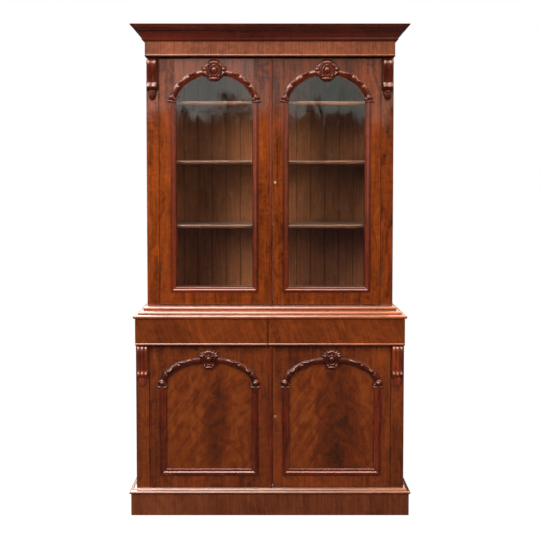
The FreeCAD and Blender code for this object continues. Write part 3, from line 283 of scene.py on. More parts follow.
# Age: a pale film of dust on what faces up, and patches where hands and cloths have been.
ageing, worn, aged = group_with(
    "Age on the polish", [("Color", "Color"), ("Vector", "Vector"), ("Dust", "Float", 0.25)],
    [("Color", "Color"), ("Roughness", "Float")])
upward = split(ageing, add_node(ageing, "NewGeometry")["Normal"])["Z"]
patches = noise(ageing, worn["Vector"], (13, 13, 13), 4)
film = times(ageing, worn["Dust"], plus(ageing, 0.4, patches))
film = times(ageing, between(ageing, upward, 0.55, 0.98), film)
handled = mixed(ageing, between(ageing, patches, 0.35, 0.75, 0.0, 0.35), worn["Color"], WORN, "MULTIPLY")
wire(ageing, aged, {
    "Color": mixed(ageing, film, handled, DUST),
    "Roughness": plus(ageing, times(ageing, film, 0.5), swing(ageing, patches, 0.1))})


def beyond_side(tree, place, x, y):
    """Where a moulding has turned the corner (x, y) on to the side of the case."""
    parts = split(tree, place)
    out = minus(tree, maths(tree, "ABSOLUTE", parts["X"]), x)
    return maths(tree, "GREATER_THAN", out, minus(tree, y, parts["Y"]))


def under_mitre(tree, place, middle, half, low):
    """Where the moulding round a door runs level, below its two lower mitres."""
    parts = split(tree, place)
    across = maths(tree, "ABSOLUTE", minus(tree, parts["X"], middle))
    return maths(tree, "LESS_THAN", minus(tree, parts["Z"], low), minus(tree, half, across))


def turned(tree, place, run):
    return add_node(tree, "Mapping", {"Vector": place, "Rotation": GRAIN_TURN[run]})[0]


def polished(name, dark=UMBER, light=RUSSET, run="upright", ribbon=1.6, mottle=0.8, gloss=0.9, dust=0.25,
             matt=0.16, tone=0.5, turn=None, hollow=False, shade_and_smoke=None):
    """French-polished mahogany.  turn is a mask with its numbers and the way that the grain runs
    inside it.  hollow darkens and dulls what is marked so: dirt in carvings, seams and joints,
    painted shade under the frieze, and the grooves of the door mouldings.  The height ramp darkens the
    colour and dulls the coat from height to height: painted shade under an overhang, and on the upper
    doors smoke as well."""
    material, tree, shader = blank(name)
    place = add_node(tree, "TexCoord")["Object"]
    board = add_node(tree, "Attribute", attribute_name="board")["Fac"]
    vector = turned(tree, place, run)
    if turn:
        mask, numbers, way = turn
        ways = {0: mask(tree, place, *numbers), 4: vector, 5: turned(tree, place, way)}
        vector = add_node(tree, "Mix", ways, data_type="VECTOR")[1]
    sawn = add_node(tree, "VectorMath", {0: NEXT_CUT, 3: board}, operation="SCALE")[0]
    vector = add_node(tree, "VectorMath", {0: vector, 1: sawn}, operation="ADD")[0]
    tone = plus(tree, tone, swing(tree, maths(tree, "FRACT", board), 0.35))
    shader.inputs["Coat Weight"].default_value = coat = gloss
    # Painted shade: from low to high the colour darkens and the coat dulls; on the upper doors smoke as well.
    if shade_and_smoke:
        low, high, amount = shade_and_smoke
        rise = split(tree, place)["Z"]
        tone = minus(tree, tone, between(tree, rise, low, high, 0.0, amount))
        coat = between(tree, rise, low, high, gloss, gloss * DULLED)
    wood = add_node(tree, "Group", {"Dark": dark, "Light": light, "Ribbon": ribbon, "Mottle": mottle,
        "Vector": vector, "Tone": tone}, node_tree=grown)
    colour = wood["Color"]
    darker_and_duller = 0.0
    # Darker and duller where marked: dirt in carvings, seams and joints, painted shade under the frieze, and
    # the grooves of the door mouldings.
    if hollow:
        depth = add_node(tree, "Attribute", attribute_name="hollow")["Fac"]
        darker_and_duller = times(tree, depth, 0.5)
        colour = mixed(tree, depth, colour, DIRT_AND_SHADE)
        coat = times(tree, minus(tree, 1.0, depth), gloss)
    age = add_node(tree, "Group", {"Color": colour, "Dust": dust, "Vector": place}, node_tree=ageing)
    wire(tree, shader, {
        "Base Color": age["Color"], "Coat Weight": coat, "Coat Roughness": 0.13 - 0.08 * gloss,
        "Roughness": plus(tree, wood["Roughness"], age["Roughness"], matt, darker_and_duller),
        "Specular IOR Level": SHEEN * min(gloss * 2, 1), "Normal": relief(tree, wood["Height"], 0.1, 0.0004)})
    return material


def active(piece):
    bpy.ops.object.select_all(action="DESELECT")
    piece.select_set(True)
    bpy.context.view_layer.objects.active = piece
    return piece


def changed(piece, kind, **settings):
    """Puts a modifier on the active piece and applies it."""
    set_up(piece.modifiers.new(kind, kind), settings)
    bpy.ops.object.modifier_apply(modifier=kind)
    return piece


def opened(piece):
    """Opens the whole mesh of a piece to the mesh operators."""
    active(piece)
    bpy.ops.object.mode_set(mode="EDIT")
    bpy.ops.mesh.select_all(action="SELECT")


def closed(piece):
    bpy.ops.object.mode_set(mode="OBJECT")
    return piece


def smoothed(piece):
    """Rounds shade smooth, while the broad faces beside them stay flat."""
    bpy.ops.object.shade_smooth_by_angle(angle=ROUND_UNDER)
    return changed(piece, "WEIGHTED_NORMAL", keep_sharp=True)


def block(low, high):
    """A plain block between two corners."""
    low, high = Vector(low), Vector(high)
    bpy.ops.mesh.primitive_cube_add(size=1, location=(low + high) / 2)
    bpy.context.object.scale = high - low
    return bpy.context.object


def timber(name, low, high, ease=EASED):
    """A planed board between two corners, with its arrises taken off."""
    piece = block(low, high)
    piece.name = piece.data.name = name
    bpy.ops.object.transform_apply(location=True, rotation=True, scale=True)
    return smoothed(changed(piece, "BEVEL", width=ease, segments=2))


def worked(node):
    """The shape of a CAD node as one smooth skin, for a piece that keeps that shape."""
    piece = bpy.data.objects.new(node + "_worked", frame["nodes"][node].data.copy())
    bpy.context.scene.collection.objects.link(piece)
    opened(piece)
    bpy.ops.mesh.remove_doubles(threshold=WELD)
    bpy.ops.mesh.dissolve_limited(angle_limit=FLAT_UNDER)
    return smoothed(closed(piece))


def marked(piece, name, values):
    """Puts a number on each vertex, for the material to read."""
    piece.data.attributes.new(name, "FLOAT", "POINT").data.foreach_set("value", values)
    return piece


def fitted(piece, material, body, slot, *nodes, board=0.5):
    """The finished piece takes its material, its own cut of the tree and its place on a body."""
    piece.data.materials.clear()
    piece.data.materials.append(material)
    marked(piece, "board", [board] * len(piece.data.vertices))
    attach(piece, body)
    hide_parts(*nodes)


plinth_wood = polished("plinth_mahogany", (0.08, 0.019, 0.008, 1), (0.27, 0.075, 0.028, 1), ribbon=1.0,
    mottle=0.5, gloss=0.4, matt=0.2)
low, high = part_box("plinth_frame")
left, right, behind = low.x + PLINTH_BOARD, high.x - PLINTH_BOARD, low.y + PLINTH_BOARD
for name, start, end in (
        ("plinth_board_front", low, (high.x, behind, high.z)),
        ("plinth_board_left", (low.x, behind, 0), (left, high.y, high.z)),
        ("plinth_board_right", (right, behind, 0), high),
        ("plinth_board_rear", (left, high.y - PLINTH_BOARD, 0), (right, high.y, high.z))):
    fitted(timber(name, start, end), plinth_wood, "case", "plinth_mahogany", "plinth_frame")

plinth_nose = polished("plinth_moulding_mahogany", (0.1, 0.026, 0.01, 1), (0.34, 0.1, 0.04, 1), "level",
    dust=0.3, matt=0.04, turn=(beyond_side, PLINTH_CORNER, "deep"))
fitted(worked("plinth_moulding"), plinth_nose, "case", "mahogany_moulding", "plinth_moulding")


# ---- The base case ----
# Sides, pilasters and rails of solid mahogany, planed and glued.  The pilasters are cut away for
# the hinge knuckles.  Inside are plain boards that never had more than a thin coat of shellac.

HINGE_AXIS = {"base": 0.582, "upper": 0.539}
HINGE_LENGTH = 0.076
HINGE_FROM_END = 0.12
HINGE_PLAY = 0.0004
KNUCKLE = 0.00315
BACK_SEAM = -0.008
BACK_BOARD = 0.0762
SEAMS_EACH_WAY = 8
SEAM_GRIME = 0.9
BEVEL = 0.0005
TONGUE = (0.004, 0.0015, 0.001)
TONGUE_EASE = 0.0003

base_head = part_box("base_left_door_frame")[1].z
upright = polished("mahogany_upright", ribbon=1.65)
# The base doors and pilasters darken toward their heads: painted shadow under the bead of the drawers.
base_upright = polished("base_mahogany_upright", (0.055, 0.01, 0.0025, 1), (0.29, 0.062, 0.009, 1),
    ribbon=1.0, shade_and_smoke=(base_head - 0.04, base_head - 0.002, 0.35))
level = polished("mahogany_level", run="level", mottle=1.2, gloss=0.55, matt=0.2)
side_wood = polished("mahogany_sides", (0.065, 0.014, 0.004, 1), (0.24, 0.056, 0.013, 1), ribbon=1.3,
    gloss=0.45, matt=0.2)
inner = polished("case_inside", (0.055, 0.018, 0.007, 1), (0.23, 0.085, 0.034, 1), "level", ribbon=0.7,
    mottle=0.3, gloss=0.12, dust=0.4, matt=0.35)
back_wood = polished("back_boards", (0.12, 0.044, 0.02, 1), (0.39, 0.158, 0.072, 1), ribbon=0.5,
    mottle=0.3, gloss=0.0, dust=0.3, matt=0.35, hollow=True)


def hollowed(piece, tool):
    """Cuts a hollow and takes the tool away."""
    changed(active(piece), "BOOLEAN", operation="DIFFERENCE", solver="EXACT", object=tool)
    bpy.data.objects.remove(tool)
    return smoothed(piece)


def notched(piece, stage, side, y):
    """Makes room in the edge of a pilaster or a stile for the knuckles of a door's two hinges."""
    low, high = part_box(f"{stage}_{side}_door_frame")
    x = HINGE_AXIS[stage] * (-1 if side == "left" else 1)
    for foot in (low.z + HINGE_FROM_END, high.z - HINGE_FROM_END - HINGE_LENGTH):
        hollowed(piece, block((x - KNUCKLE, y - KNUCKLE, foot - HINGE_PLAY),
            (x + KNUCKLE, y + KNUCKLE, foot + HINGE_LENGTH + HINGE_PLAY)))
    return piece


def boards(*rows):
    """Planed boards of the case; rows are (node, wood, cut of the tree)."""
    for node, wood, mark in rows:
        slot = "inner_wood" if wood is inner else "mahogany"
        fitted(timber(node + "_timber", *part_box(node)), wood, "case", slot, node, board=mark)


def pilasters(stage, wood, *marks):
    for side, mark in zip(("left", "right"), marks):
        node = f"{stage}_pilaster_{side}"
        low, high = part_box(node)
        fitted(notched(timber(node + "_timber", low, high), stage, side, low.y), wood, "case",
            "mahogany", node, board=mark)


def seamed(node):
    """Upright boards whose bevelled seams have gathered dirt."""
    piece = worked(node)
    low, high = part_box(node)
    return marked(piece, "hollow",
        [SEAM_GRIME * (low.y + BEVEL < point.co.y < high.y - BEVEL) for point in piece.data.vertices])


def tongues(node):
    """Loose tongues in the joints of the back boards, which keep the dust out."""
    half, thick, short = TONGUE
    low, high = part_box(node)
    middle = (low.y + high.y) / 2
    strips = []
    for count in range(-SEAMS_EACH_WAY, SEAMS_EACH_WAY + 1):
        x = BACK_SEAM + count * BACK_BOARD
        if low.x + half < x < high.x - half:
            strips.append(timber(f"{node}_tongue_{count}", (x - half, middle - thick, low.z + short),
                (x + half, middle + thick, high.z - short), TONGUE_EASE))
    for strip in strips:
        strip.select_set(True)
    bpy.ops.object.join()
    joined = bpy.context.object
    joined.name = joined.data.name = node + "_tongues"
    fitted(joined, back_wood, "case", "inner_wood", node, board=2.5)


boards(("base_side_left", side_wood, 0.2), ("base_side_right", side_wood, 1.35),
    ("base_bottom_rail", level, 2.45), ("base_bottom_board", inner, 3.5),
    ("base_dust_board", inner, 4.4))
pilasters("base", base_upright, 5.45, 6.4)
tongues("base_back_boards")
fitted(seamed("base_back_boards"), back_wood, "case", "inner_wood", "base_back_boards", board=7.3)
for node, mark in (("base_shelf", 8.5), ("drawer_guides", 9.5), ("shelf_bearers", 10.5)):
    fitted(worked(node), inner, "case", "inner_wood", node, board=mark)


# ---- The base top and the waist moulding ----
# A mahogany board with a rounded nose lies over the drawers, and a moulding in two rounded steps
# is mitred round the foot of the upper case.  Both have kept their full polish.

for node, dark, light, corner, mark in (
        ("base_top_board", (0.2, 0.048, 0.018, 1), (0.5, 0.15, 0.065, 1), (0.646, -0.228), 0.7),
        ("waist_moulding", (0.18, 0.04, 0.015, 1), (0.46, 0.13, 0.055, 1), (0.6, -0.182), 1.7)):
    wood = polished(node + "_mahogany", dark, light, "level", gloss=1.0, dust=0.3, matt=0.04,
        turn=(beyond_side, corner, "deep"))
    fitted(worked(node), wood, "case", "mahogany_moulding", node, board=mark)


# ---- The drawers ----
# Two drawers hide in the frieze of the base.  Their fronts are cut from one figured board, with a
# bead along the lower edge that catches the light; the boxes are made of a paler wood.

SEAM_DIRT = 0.004

front_wood = polished("drawer_front_mahogany", (0.055, 0.01, 0.002, 1), (0.27, 0.058, 0.008, 1),
    "slanted", ribbon=0.9, mottle=0.9, dust=0.15, hollow=True, matt=0.2)
box_wood = polished("drawer_box_wood", (0.22, 0.11, 0.052, 1), (0.5, 0.3, 0.17, 1), "deep", ribbon=0.8,
    mottle=0.2, gloss=0.0, dust=0.5, matt=0.5)


def dirty_end(piece, end, toward):
    """Dirt along the upright end of a drawer front, where it meets its neighbour."""
    opened(piece)
    bpy.ops.mesh.bisect(plane_co=(end + toward * SEAM_DIRT, 0, 0), plane_no=(1, 0, 0))
    closed(piece)
    return smoothed(marked(piece, "hollow",
        [float(abs(point.co.x - end) < SEAM_DIRT / 2) for point in piece.data.vertices]))


for side, mark in (("left", 0.4), ("right", 0.5)):
    drawer = side + "_drawer"
    low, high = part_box(drawer + "_front")
    front = dirty_end(worked(drawer + "_front"), *((high.x, -1) if side == "left" else (low.x, 1)))
    fitted(front, front_wood, drawer, "mahogany", drawer + "_front", board=mark)
    fitted(worked(drawer + "_box"), box_wood, drawer, "inner_wood", drawer + "_box", board=mark)


# ---- The upper case ----
# Sides and pilasters stand on the waist; three loose shelves with rounded front edges lie on
# bearers behind the glass, in front of a back of upright bevelled boards.

# The rail behind the frieze is painted near black and dull: painted shade in the gap between the frieze and
# the heads of the doors.
painted_shade_wood = polished("mahogany_painted_shade_under_the_frieze", (0.008, 0.002, 0.001, 1), (0.025, 0.005, 0.002, 1), "level",
    gloss=0.0, matt=0.6)
shelf_wood = polished("shelf_mahogany", (0.055, 0.018, 0.009, 1), (0.18, 0.07, 0.034, 1), "level",
    ribbon=0.8, mottle=0.4, gloss=0.65, dust=0.4, matt=0.15)
boards(("upper_side_left", side_wood, 0.6), ("upper_side_right", side_wood, 1.45),
    ("upper_top_rail", painted_shade_wood, 2.6), ("upper_bottom_board", inner, 3.6),
    ("upper_top_board", inner, 4.5))
pilasters("upper", upright, 5.75, 6.55)
for node, mark in (("shelf_lower", 0.3), ("shelf_middle", 1.5), ("shelf_top", 2.6)):
    fitted(worked(node), shelf_wood, "case", "inner_wood", node, board=mark)
tongues("upper_back_boards")
fitted(seamed("upper_back_boards"), back_wood, "case", "inner_wood", "upper_back_boards", board=3.3)


# ---- The frieze and the cornice ----
# A plain board with a bead along its lower edge carries the cornice: an ovolo and a deep hollow
# under a square fillet, mitred at the front corners and glued to a rail at the back.

UNDERSIDE = 0.001

frieze_wood = polished("frieze_mahogany", (0.1, 0.029, 0.013, 1), (0.28, 0.092, 0.042, 1), ribbon=0.7,
    mottle=1.1, gloss=0.55, matt=0.2, hollow=True)
cornice_wood = polished("cornice_mahogany", (0.04, 0.006, 0.002, 1), (0.13, 0.018, 0.005, 1), "level",
    ribbon=0.7, dust=0.5, matt=0.14, turn=(beyond_side, (0.6, -0.178), "deep"))
frieze = worked("frieze")
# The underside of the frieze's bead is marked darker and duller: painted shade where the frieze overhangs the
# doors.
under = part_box("frieze")[0].z + UNDERSIDE
marked(frieze, "hollow", [float(point.co.z < under) for point in frieze.data.vertices])
fitted(frieze, frieze_wood, "case", "mahogany", "frieze", board=0.35)
fitted(worked("cornice"), cornice_wood, "case", "mahogany_moulding", "cornice", board=1.35)


# ---- The doors ----
# Each frame has two stiles, a bottom rail and a top rail sawn to half an ellipse.  The stiles are
# hollowed for the hinge knuckles, the lock and its bolt; an applied moulding frames the opening.

DOORS = (("base", "left", 0.4), ("base", "right", 1.45), ("upper", "left", 2.65), ("upper", "right", 3.6))
OPENING = {"base": ("panel", 0.108), "upper": ("glass", 0.147)}
FIT = 0.0003
STILE_EASE, TENON_EASE = 0.0008, 0.0003
LOCK_ROOM = (0.042, 0.011, 0.06)
BOLT_ROOM = (0.008, 0.006, 0.017)
KEYHOLE = (0.011, 0.0025)
OVERCUT = 0.01
DRILL_LENGTH = 0.1
LAMP_SMOKE_AND_SHADE = (1.88, 2.15, 0.36)
MOULDING_LIP = 0.004
CARVED_ROUND_UNDER = radians(55)
SUNK = 0.3
RUN = {"base": (0.033, -0.017), "upper": (0.026, 0.008)}  # width, and head over the foot of the arch
MOULDING = (
    # share of the width from the inner edge, height in mm, how much darker and duller
    (0.0, 1.0, 0.6), (0.04, 2.6, 0.1), (0.1, 3.4, 0), (0.2, 3.8, 0), (0.28, 4.2, 0), (0.32, 4.7, 0.2),
    (0.35, 5.7, 0), (0.4, 7.3, 0), (0.46, 8.7, 0), (0.52, 9.6, 0), (0.57, 10.0, 0), (0.61, 9.5, 0.1),
    (0.63, 7.5, 0.9), (0.66, 7.7, 0.4), (0.7, 8.3, 0), (0.74, 8.3, 0), (0.78, 7.4, 0), (0.81, 5.8, 0.2),
    (0.82, 4.2, 0.7), (0.88, 4.2, 0.1), (0.95, 3.8, 0), (0.99, 3.0, 0), (1.0, 2.2, 0.1), (1.0, 0.0, 0.8),
)

# The upper doors darken and dull toward their heads: smoke, and painted shade under the frieze.
upper_upright = polished("upper_door_mahogany", ribbon=1.35, shade_and_smoke=LAMP_SMOKE_AND_SHADE)
# The heads are copies of one wood set apart by how the light falls: the left is painted darker all over in
# place of the ramp and keeps its full coat, so the window's reflection shows stronger on it.
left_head = polished("upper_left_head_mahogany", ribbon=0.9, mottle=0.4, gloss=1.0, tone=0.3)
right_head = polished("upper_right_head_mahogany", ribbon=0.9, mottle=0.4, shade_and_smoke=LAMP_SMOKE_AND_SHADE)
bead_wood = polished("door_bead_mahogany", (0.07, 0.011, 0.004, 1), (0.23, 0.042, 0.011, 1), gloss=0.6,
    matt=0.14)


def skin(name, rows, columns, place):
    """A closed carved form: a grid whose points are put where place says.  Its last column meets
    its first, and open ends are filled."""
    bpy.ops.mesh.primitive_grid_add(x_subdivisions=columns, y_subdivisions=rows, size=1)
    piece = bpy.context.object
    piece.name = piece.data.name = name
    hollows = []
    for point in piece.data.vertices:
        row, column = round((point.co.y + 0.5) * rows), round((point.co.x + 0.5) * columns)
        x, y, z, hollow = place(row, column)
        point.co = x, y, z
        hollows.append(hollow)
    opened(marked(piece, "hollow", hollows))
    bpy.ops.mesh.remove_doubles(threshold=2 * WELD)
    bpy.ops.mesh.fill_holes(sides=0)
    bpy.ops.mesh.select_all(action="SELECT")
    bpy.ops.mesh.normals_make_consistent(inside=False)
    closed(piece)
    bpy.ops.object.shade_smooth_by_angle(angle=CARVED_ROUND_UNDER)
    return piece


def moulding_run(name, middle, half, face, sill, top, width, recess):
    """The moulding up both sides and across the foot of an opening, mitred at its two corners."""
    lip = MOULDING_LIP / width
    # The faces that turn back into the opening are the darkest and dullest.
    section = ((0.0, -recess, 0.5),) + MOULDING + ((lip, 0.0, 1.0), (lip, -recess, 1.0))

    def place(row, column):
        share, height, darker_and_duller = section[column % len(section)]
        side = -1 if row < 2 else 1
        x = middle + side * (half - MOULDING_LIP + share * width)
        z = top if row in (0, 3) else sill + MOULDING_LIP - share * width
        return x, face - height / 1000, z, darker_and_duller

    return smoothed(skin(name, 3, len(section), place))


def without_run(piece, outer_corner):
    """Takes the plain run out of a worked moulding and leaves the glass beads and the astragal."""
    nearest = min(piece.data.vertices, key=lambda point: (point.co - Vector(outer_corner)).length).index
    opened(piece)
    bpy.ops.mesh.select_all(action="DESELECT")
    closed(piece).data.vertices[nearest].select = True
    bpy.ops.object.mode_set(mode="EDIT")
    bpy.ops.mesh.select_linked()
    bpy.ops.mesh.delete(type="VERT")
    return closed(piece)


def opening_of(door, stage):
    """The left, right and lower edges of a door's opening and the foot of its arch."""
    filling, rise = OPENING[stage]
    low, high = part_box(f"{door}_{filling}")
    return low.x - FIT, high.x + FIT, low.z - FIT, high.z + FIT - rise


def drill(vertices, radius, place):
    """A level round tool through a door, to cut with."""
    bpy.ops.mesh.primitive_cylinder_add(vertices=vertices, radius=radius, depth=DRILL_LENGTH, location=place,
        rotation=(pi / 2, 0, 0))
    return bpy.context.object


for stage, side, mark in DOORS:
    door = f"{stage}_{side}_door"
    low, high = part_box(door + "_frame")
    left, right, sill, spring = opening_of(door, stage)
    middle, half = (left + right) / 2, (right - left) / 2
    centre, core = (low.z + high.z) / 2, (low.y + high.y) / 2
    left_stile = timber(door + "_left_stile", low, (left, high.y, high.z), STILE_EASE)
    right_stile = timber(door + "_right_stile", (right, low.y, low.z), high, STILE_EASE)
    notched(left_stile if side == "left" else right_stile, stage, side, low.y)
    if side == "left":
        deep, thick, tall = BOLT_ROOM
        line = high.y - LOCK_ROOM[1] / 2
        hollowed(right_stile, block((high.x - deep, line - thick / 2, centre - tall / 2),
            (high.x + OVERCUT, line + thick / 2, centre + tall / 2)))
    else:
        deep, thick, tall = LOCK_ROOM
        hollowed(left_stile, block((low.x - OVERCUT, high.y - thick, centre - tall / 2),
            (low.x + deep, high.y + OVERCUT, centre + tall / 2)))
        hollowed(left_stile, drill(32, KEYHOLE[1], (low.x + KEYHOLE[0], low.y, centre)))
    bottom_rail = timber(door + "_bottom_rail", (left, low.y, low.z), (right, high.y, sill), TENON_EASE)
    top_rail = timber(door + "_top_rail", (left, low.y, spring), (right, high.y, high.z), TENON_EASE)
    saw = drill(160, 1, (middle, core, spring))
    saw.scale = (half, OPENING[stage][1], 1)
    hollowed(top_rail, saw)
    woods = [base_upright] * 4
    if stage == "upper":
        woods = [upper_upright] * 3 + [left_head if side == "left" else right_head]
    for piece, wood in zip((left_stile, right_stile, bottom_rail, top_rail), woods):
        fitted(piece, wood, door, "mahogany", door + "_frame", board=mark)
    moulding_wood = polished(door + "_moulding_mahogany", (0.05, 0.007, 0.002, 1),
        (0.22, 0.031, 0.006, 1), matt=0.15, turn=(under_mitre, (middle, half, sill), "level"),
        hollow=True)
    width, over = RUN[stage]
    top = spring + over
    recess = SUNK if stage == "upper" else (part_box(door + "_panel")[0].y - low.y) * 1000
    run = moulding_run(door + "_moulding_run", middle, half, low.y, sill, top, width, recess)
    fitted(run, moulding_wood, door, "mahogany_moulding", door + "_moulding", board=mark)
    rest = without_run(worked(door + "_moulding"), (middle - half + MOULDING_LIP - width, low.y, top))
    if len(rest.data.vertices):
        fitted(rest, bead_wood, door, "mahogany_moulding", door + "_moulding", board=mark)
    else:
        bpy.data.objects.remove(rest)


# ---- The panels of the base doors ----
# Flat boards faced with crotch mahogany, where the trunk forked: on the left door the figure
# sweeps up to the right round a dark heart, on the right door it falls like a feather.

PANEL_CENTRE = 0.476
FLAME = ((0.0, (0.042, 0.013, 0.005, 1)), (0.5, (0.142, 0.028, 0.006, 1)), (1.0, (0.275, 0.07, 0.012, 1)))

forked, heart, faced = group_with(
    "Crotch figure",
    [("Vector", "Vector"), ("Feather", "Float", 1.3), ("Lean", "Float", 0.0), ("Heart", "Vector"),
     ("Heart width", "Float", 0.08), ("Heart height", "Float", 0.2)],
    [("Color", "Color"), ("Roughness", "Float"), ("Height", "Float")])
spot = heart["Vector"]
parts = split(forked, spot)
waver = noise(forked, spot, (7, 7, 5), 3, 1.2)
across = plus(forked, parts["X"], swing(forked, waver, 0.09))
fall = maths(forked, "SQRT", plus(forked, times(forked, across, across), 0.0012))
line = plus(forked, parts["Z"], times(forked, fall, heart["Feather"]),
    times(forked, times(forked, across, -1.0), heart["Lean"]), swing(forked, waver, 0.17))
along = add_node(forked, "CombineXYZ", {0: line, 1: across, 2: 0.0})[0]
streak = noise(forked, along, (26, 7, 1), 4, 0.7)
thread = noise(forked, along, (190, 16, 1), 3, 0.3)
ripple = noise(forked, spot, (60, 60, 9), 3, 1.6)
blotch = noise(forked, spot, (15, 15, 11), 4, 1.4)
away = split(forked, add_node(forked, "VectorMath", {0: spot, 1: heart["Heart"]}, operation="SUBTRACT")[0])
shares = [maths(forked, "ABSOLUTE", maths(forked, "DIVIDE", away[axis], heart[size]))
    for axis, size in (("X", "Heart width"), ("Z", "Heart height"))]
near = plus(forked, *(maths(forked, "POWER", share, 2.0) for share in shares))
figure = plus(forked, swing(forked, streak, 0.65), swing(forked, thread, 0.28),
    swing(forked, ripple, 0.35), swing(forked, blotch, 1.1), 0.62)
figure = minus(forked, figure, between(forked, near, 0.0, 2.4, 0.46, 0.0), clamp=True)
ramp = add_node(forked, "ValToRGB", {0: figure})[0]
stops = ramp.node.color_ramp.elements
stops.new(0.5)
for stop, (position, colour) in zip(stops, FLAME):
    stop.position, stop.color = position, colour
wire(forked, faced, {"Color": ramp, "Roughness": times(forked, thread, 0.14), "Height": thread})

for side, middle, feather, lean, dark_heart, width, height in (
        ("left", -0.2945, 0.35, 1.05, (0.035, 0, -0.02), 0.05, 0.17),
        ("right", 0.2975, 1.5, 0.1, (0.035, 0, -0.1), 0.085, 0.27)):
    door = f"base_{side}_door"
    material, tree, shader = blank(f"flame_veneer_{side}")
    place = add_node(tree, "TexCoord")["Object"]
    centred = add_node(tree, "Mapping", {"Vector": place, "Location": (-middle, 0, -PANEL_CENTRE)})[0]
    veneer = add_node(tree, "Group", {
        "Vector": centred, "Feather": feather, "Lean": lean, "Heart": dark_heart, "Heart width": width,
        "Heart height": height}, node_tree=forked)
    age = add_node(tree, "Group", {"Color": veneer["Color"], "Vector": place}, node_tree=ageing)
    wire(tree, shader, {
        "Base Color": age["Color"], "Coat Weight": 0.5, "Coat Roughness": 0.12,
        "Roughness": plus(tree, veneer["Roughness"], age["Roughness"], 0.2),
        "Specular IOR Level": SHEEN, "Normal": relief(tree, veneer["Height"], 0.06, 0.0003)})
    fitted(worked(door + "_panel"), material, door, "flame_veneer", door + "_panel")


# ---- The glass of the upper doors ----
# Old drawn glass, faintly green and not quite flat, with a haze of fingermarks and smoke on it.
# Each pane is held in the rebate of its door by beads at the back.

glass, tree, shader = blank("old_glass")
place = add_node(tree, "TexCoord")["Object"]
wave = noise(tree, place, (9, 9, 3.5), 1.5, 0.9)
smear = noise(tree, place, (16, 16, 7), 5, 1.8)
wire(tree, shader, {
    "Base Color": (0.93, 0.96, 0.93, 1), "Transmission Weight": 1.0, "IOR": 1.4,
    "Alpha": minus(tree, 1.0, times(tree, add_node(tree, "LightPath")["Is Shadow Ray"], 0.92)),
    "Roughness": between(tree, smear, 0.55, 0.8, 0.02, 0.22), "Normal": relief(tree, wave, 0.22, 0.004)})
for side in ("left", "right"):
    door = f"upper_{side}_door"
    fitted(worked(door + "_glass"), glass, door, "glass", door + "_glass")


# ---- The carved arches ----
# Each arch is carved from the solid and glued on: a rail round half an ellipse with two leaves
# that climb each side and curl over at their tips, a scrolled foot, and a cartouche at the crown.

RAIL_ROWS, RAIL_COLUMNS = 480, 34
STRAIGHT_ROWS = 20
RAIL_HALF = 13.5
HEIGHT_OF_FEET = 60
ARCHES = {
    # half width and rise of the middle line, foot and head of the capital over the foot of the
    # arch, leaves (from, to, middle of the tip: degrees up the arch, share of the width)
    "base": (0.223, 0.121, -17, 9, ((6, 34, 0.1), (28, 62, 0.5))),
    "upper": (0.205, 0.16, 8, 44, ((14, 42, 0.25), (36, 62, 0.5))),
}


def bell(value, middle, width):
    """1 at its middle, and falling away on both sides."""
    return exp(-((value - middle) / width) ** 2)


def dome(share):
    """A half round, from 1 at 0 down to 0 at 1."""
    return sqrt(max(0.0, 1.0 - share * share))


def held(share):
    return min(max(share, 0.0), 1.0)


def evenly(value, low, high):
    """How far a value has come from low to high, from 0 to 1."""
    return held((value - low) / (high - low))


def step(value, low, high):
    """The same, with a soft start and end."""
    share = evenly(value, low, high)
    return share * share * (3 - 2 * share)


def spread_across(column, columns, power):
    """From -1 to 1 over the width of a carving, with the columns closer together at its edges."""
    turn = pi * column / (columns - 1)
    return -copysign(abs(cos(turn)) ** power, cos(turn))


def leaf(angle, across, start, end, tip):
    """Height in mm of one acanthus leaf that lies along the rail, and of its curled tip."""
    share = (angle - start) / (end - start)
    if not -0.05 < share < 1.25:
        return 0.0
    spine = -0.35 + (tip + 0.35) * step(share, 0.0, 0.9)
    width = 0.16 + 0.62 * sin(pi * held(share) ** 0.8) ** 0.7
    width *= 1.0 + 0.02 * sin(share * 30)
    off = (across - spine) / width
    blade = 0.0
    if abs(off) < 1 and 0 < share < 1:
        blade = (2.2 + 1.8 * share) * dome(off) - 0.8 * bell(off, 0, 0.16)
        blade += 0.08 * cos(off * 9 - share * 26) * (1 - abs(off))
        blade *= step(share, 0.0, 0.12) * step(1.0 - share, 0.0, 0.06)
    curl = hypot((share - 0.96) / 0.2, (across - tip) / 0.48)
    return blade + 8.0 * bell(curl, 0, 0.8) - 2.4 * bell(curl, 1.35, 0.3)


def base_foot(height, across):
    """A thin abacus under a round scroll, with a smaller scroll at its inner side; heights in mm."""
    ledge = 7.5 * dome((height + 12.5) / 5.0)
    turn = hypot(height - 6, (across - 0.12) * 22)
    scroll = 13.5 * dome(turn / 19) - 2.6 * bell(turn, 10.5, 1.7) + 2.0 * bell(turn, 5, 2.5)
    return max(ledge, scroll, 9.0 * dome(hypot(height + 1, (across + 0.62) * 22) / 9))


def upper_foot(height, across):
    """A rounded collar under a curled leaf, with a smaller curl at its inner side; heights in mm."""
    collar = 12.0 * dome((height - 13) / 4.8)
    turn = hypot((height - 29.5) * 0.95, (across - 0.15) * 21)
    curl = 13.5 * dome(turn / 17) - 2.4 * bell(turn, 9.5, 1.8) + 1.8 * bell(turn, 4.5, 2.4)
    return max(collar, curl, 9.5 * dome(hypot(height - 25, (across + 0.62) * 21) / 8))


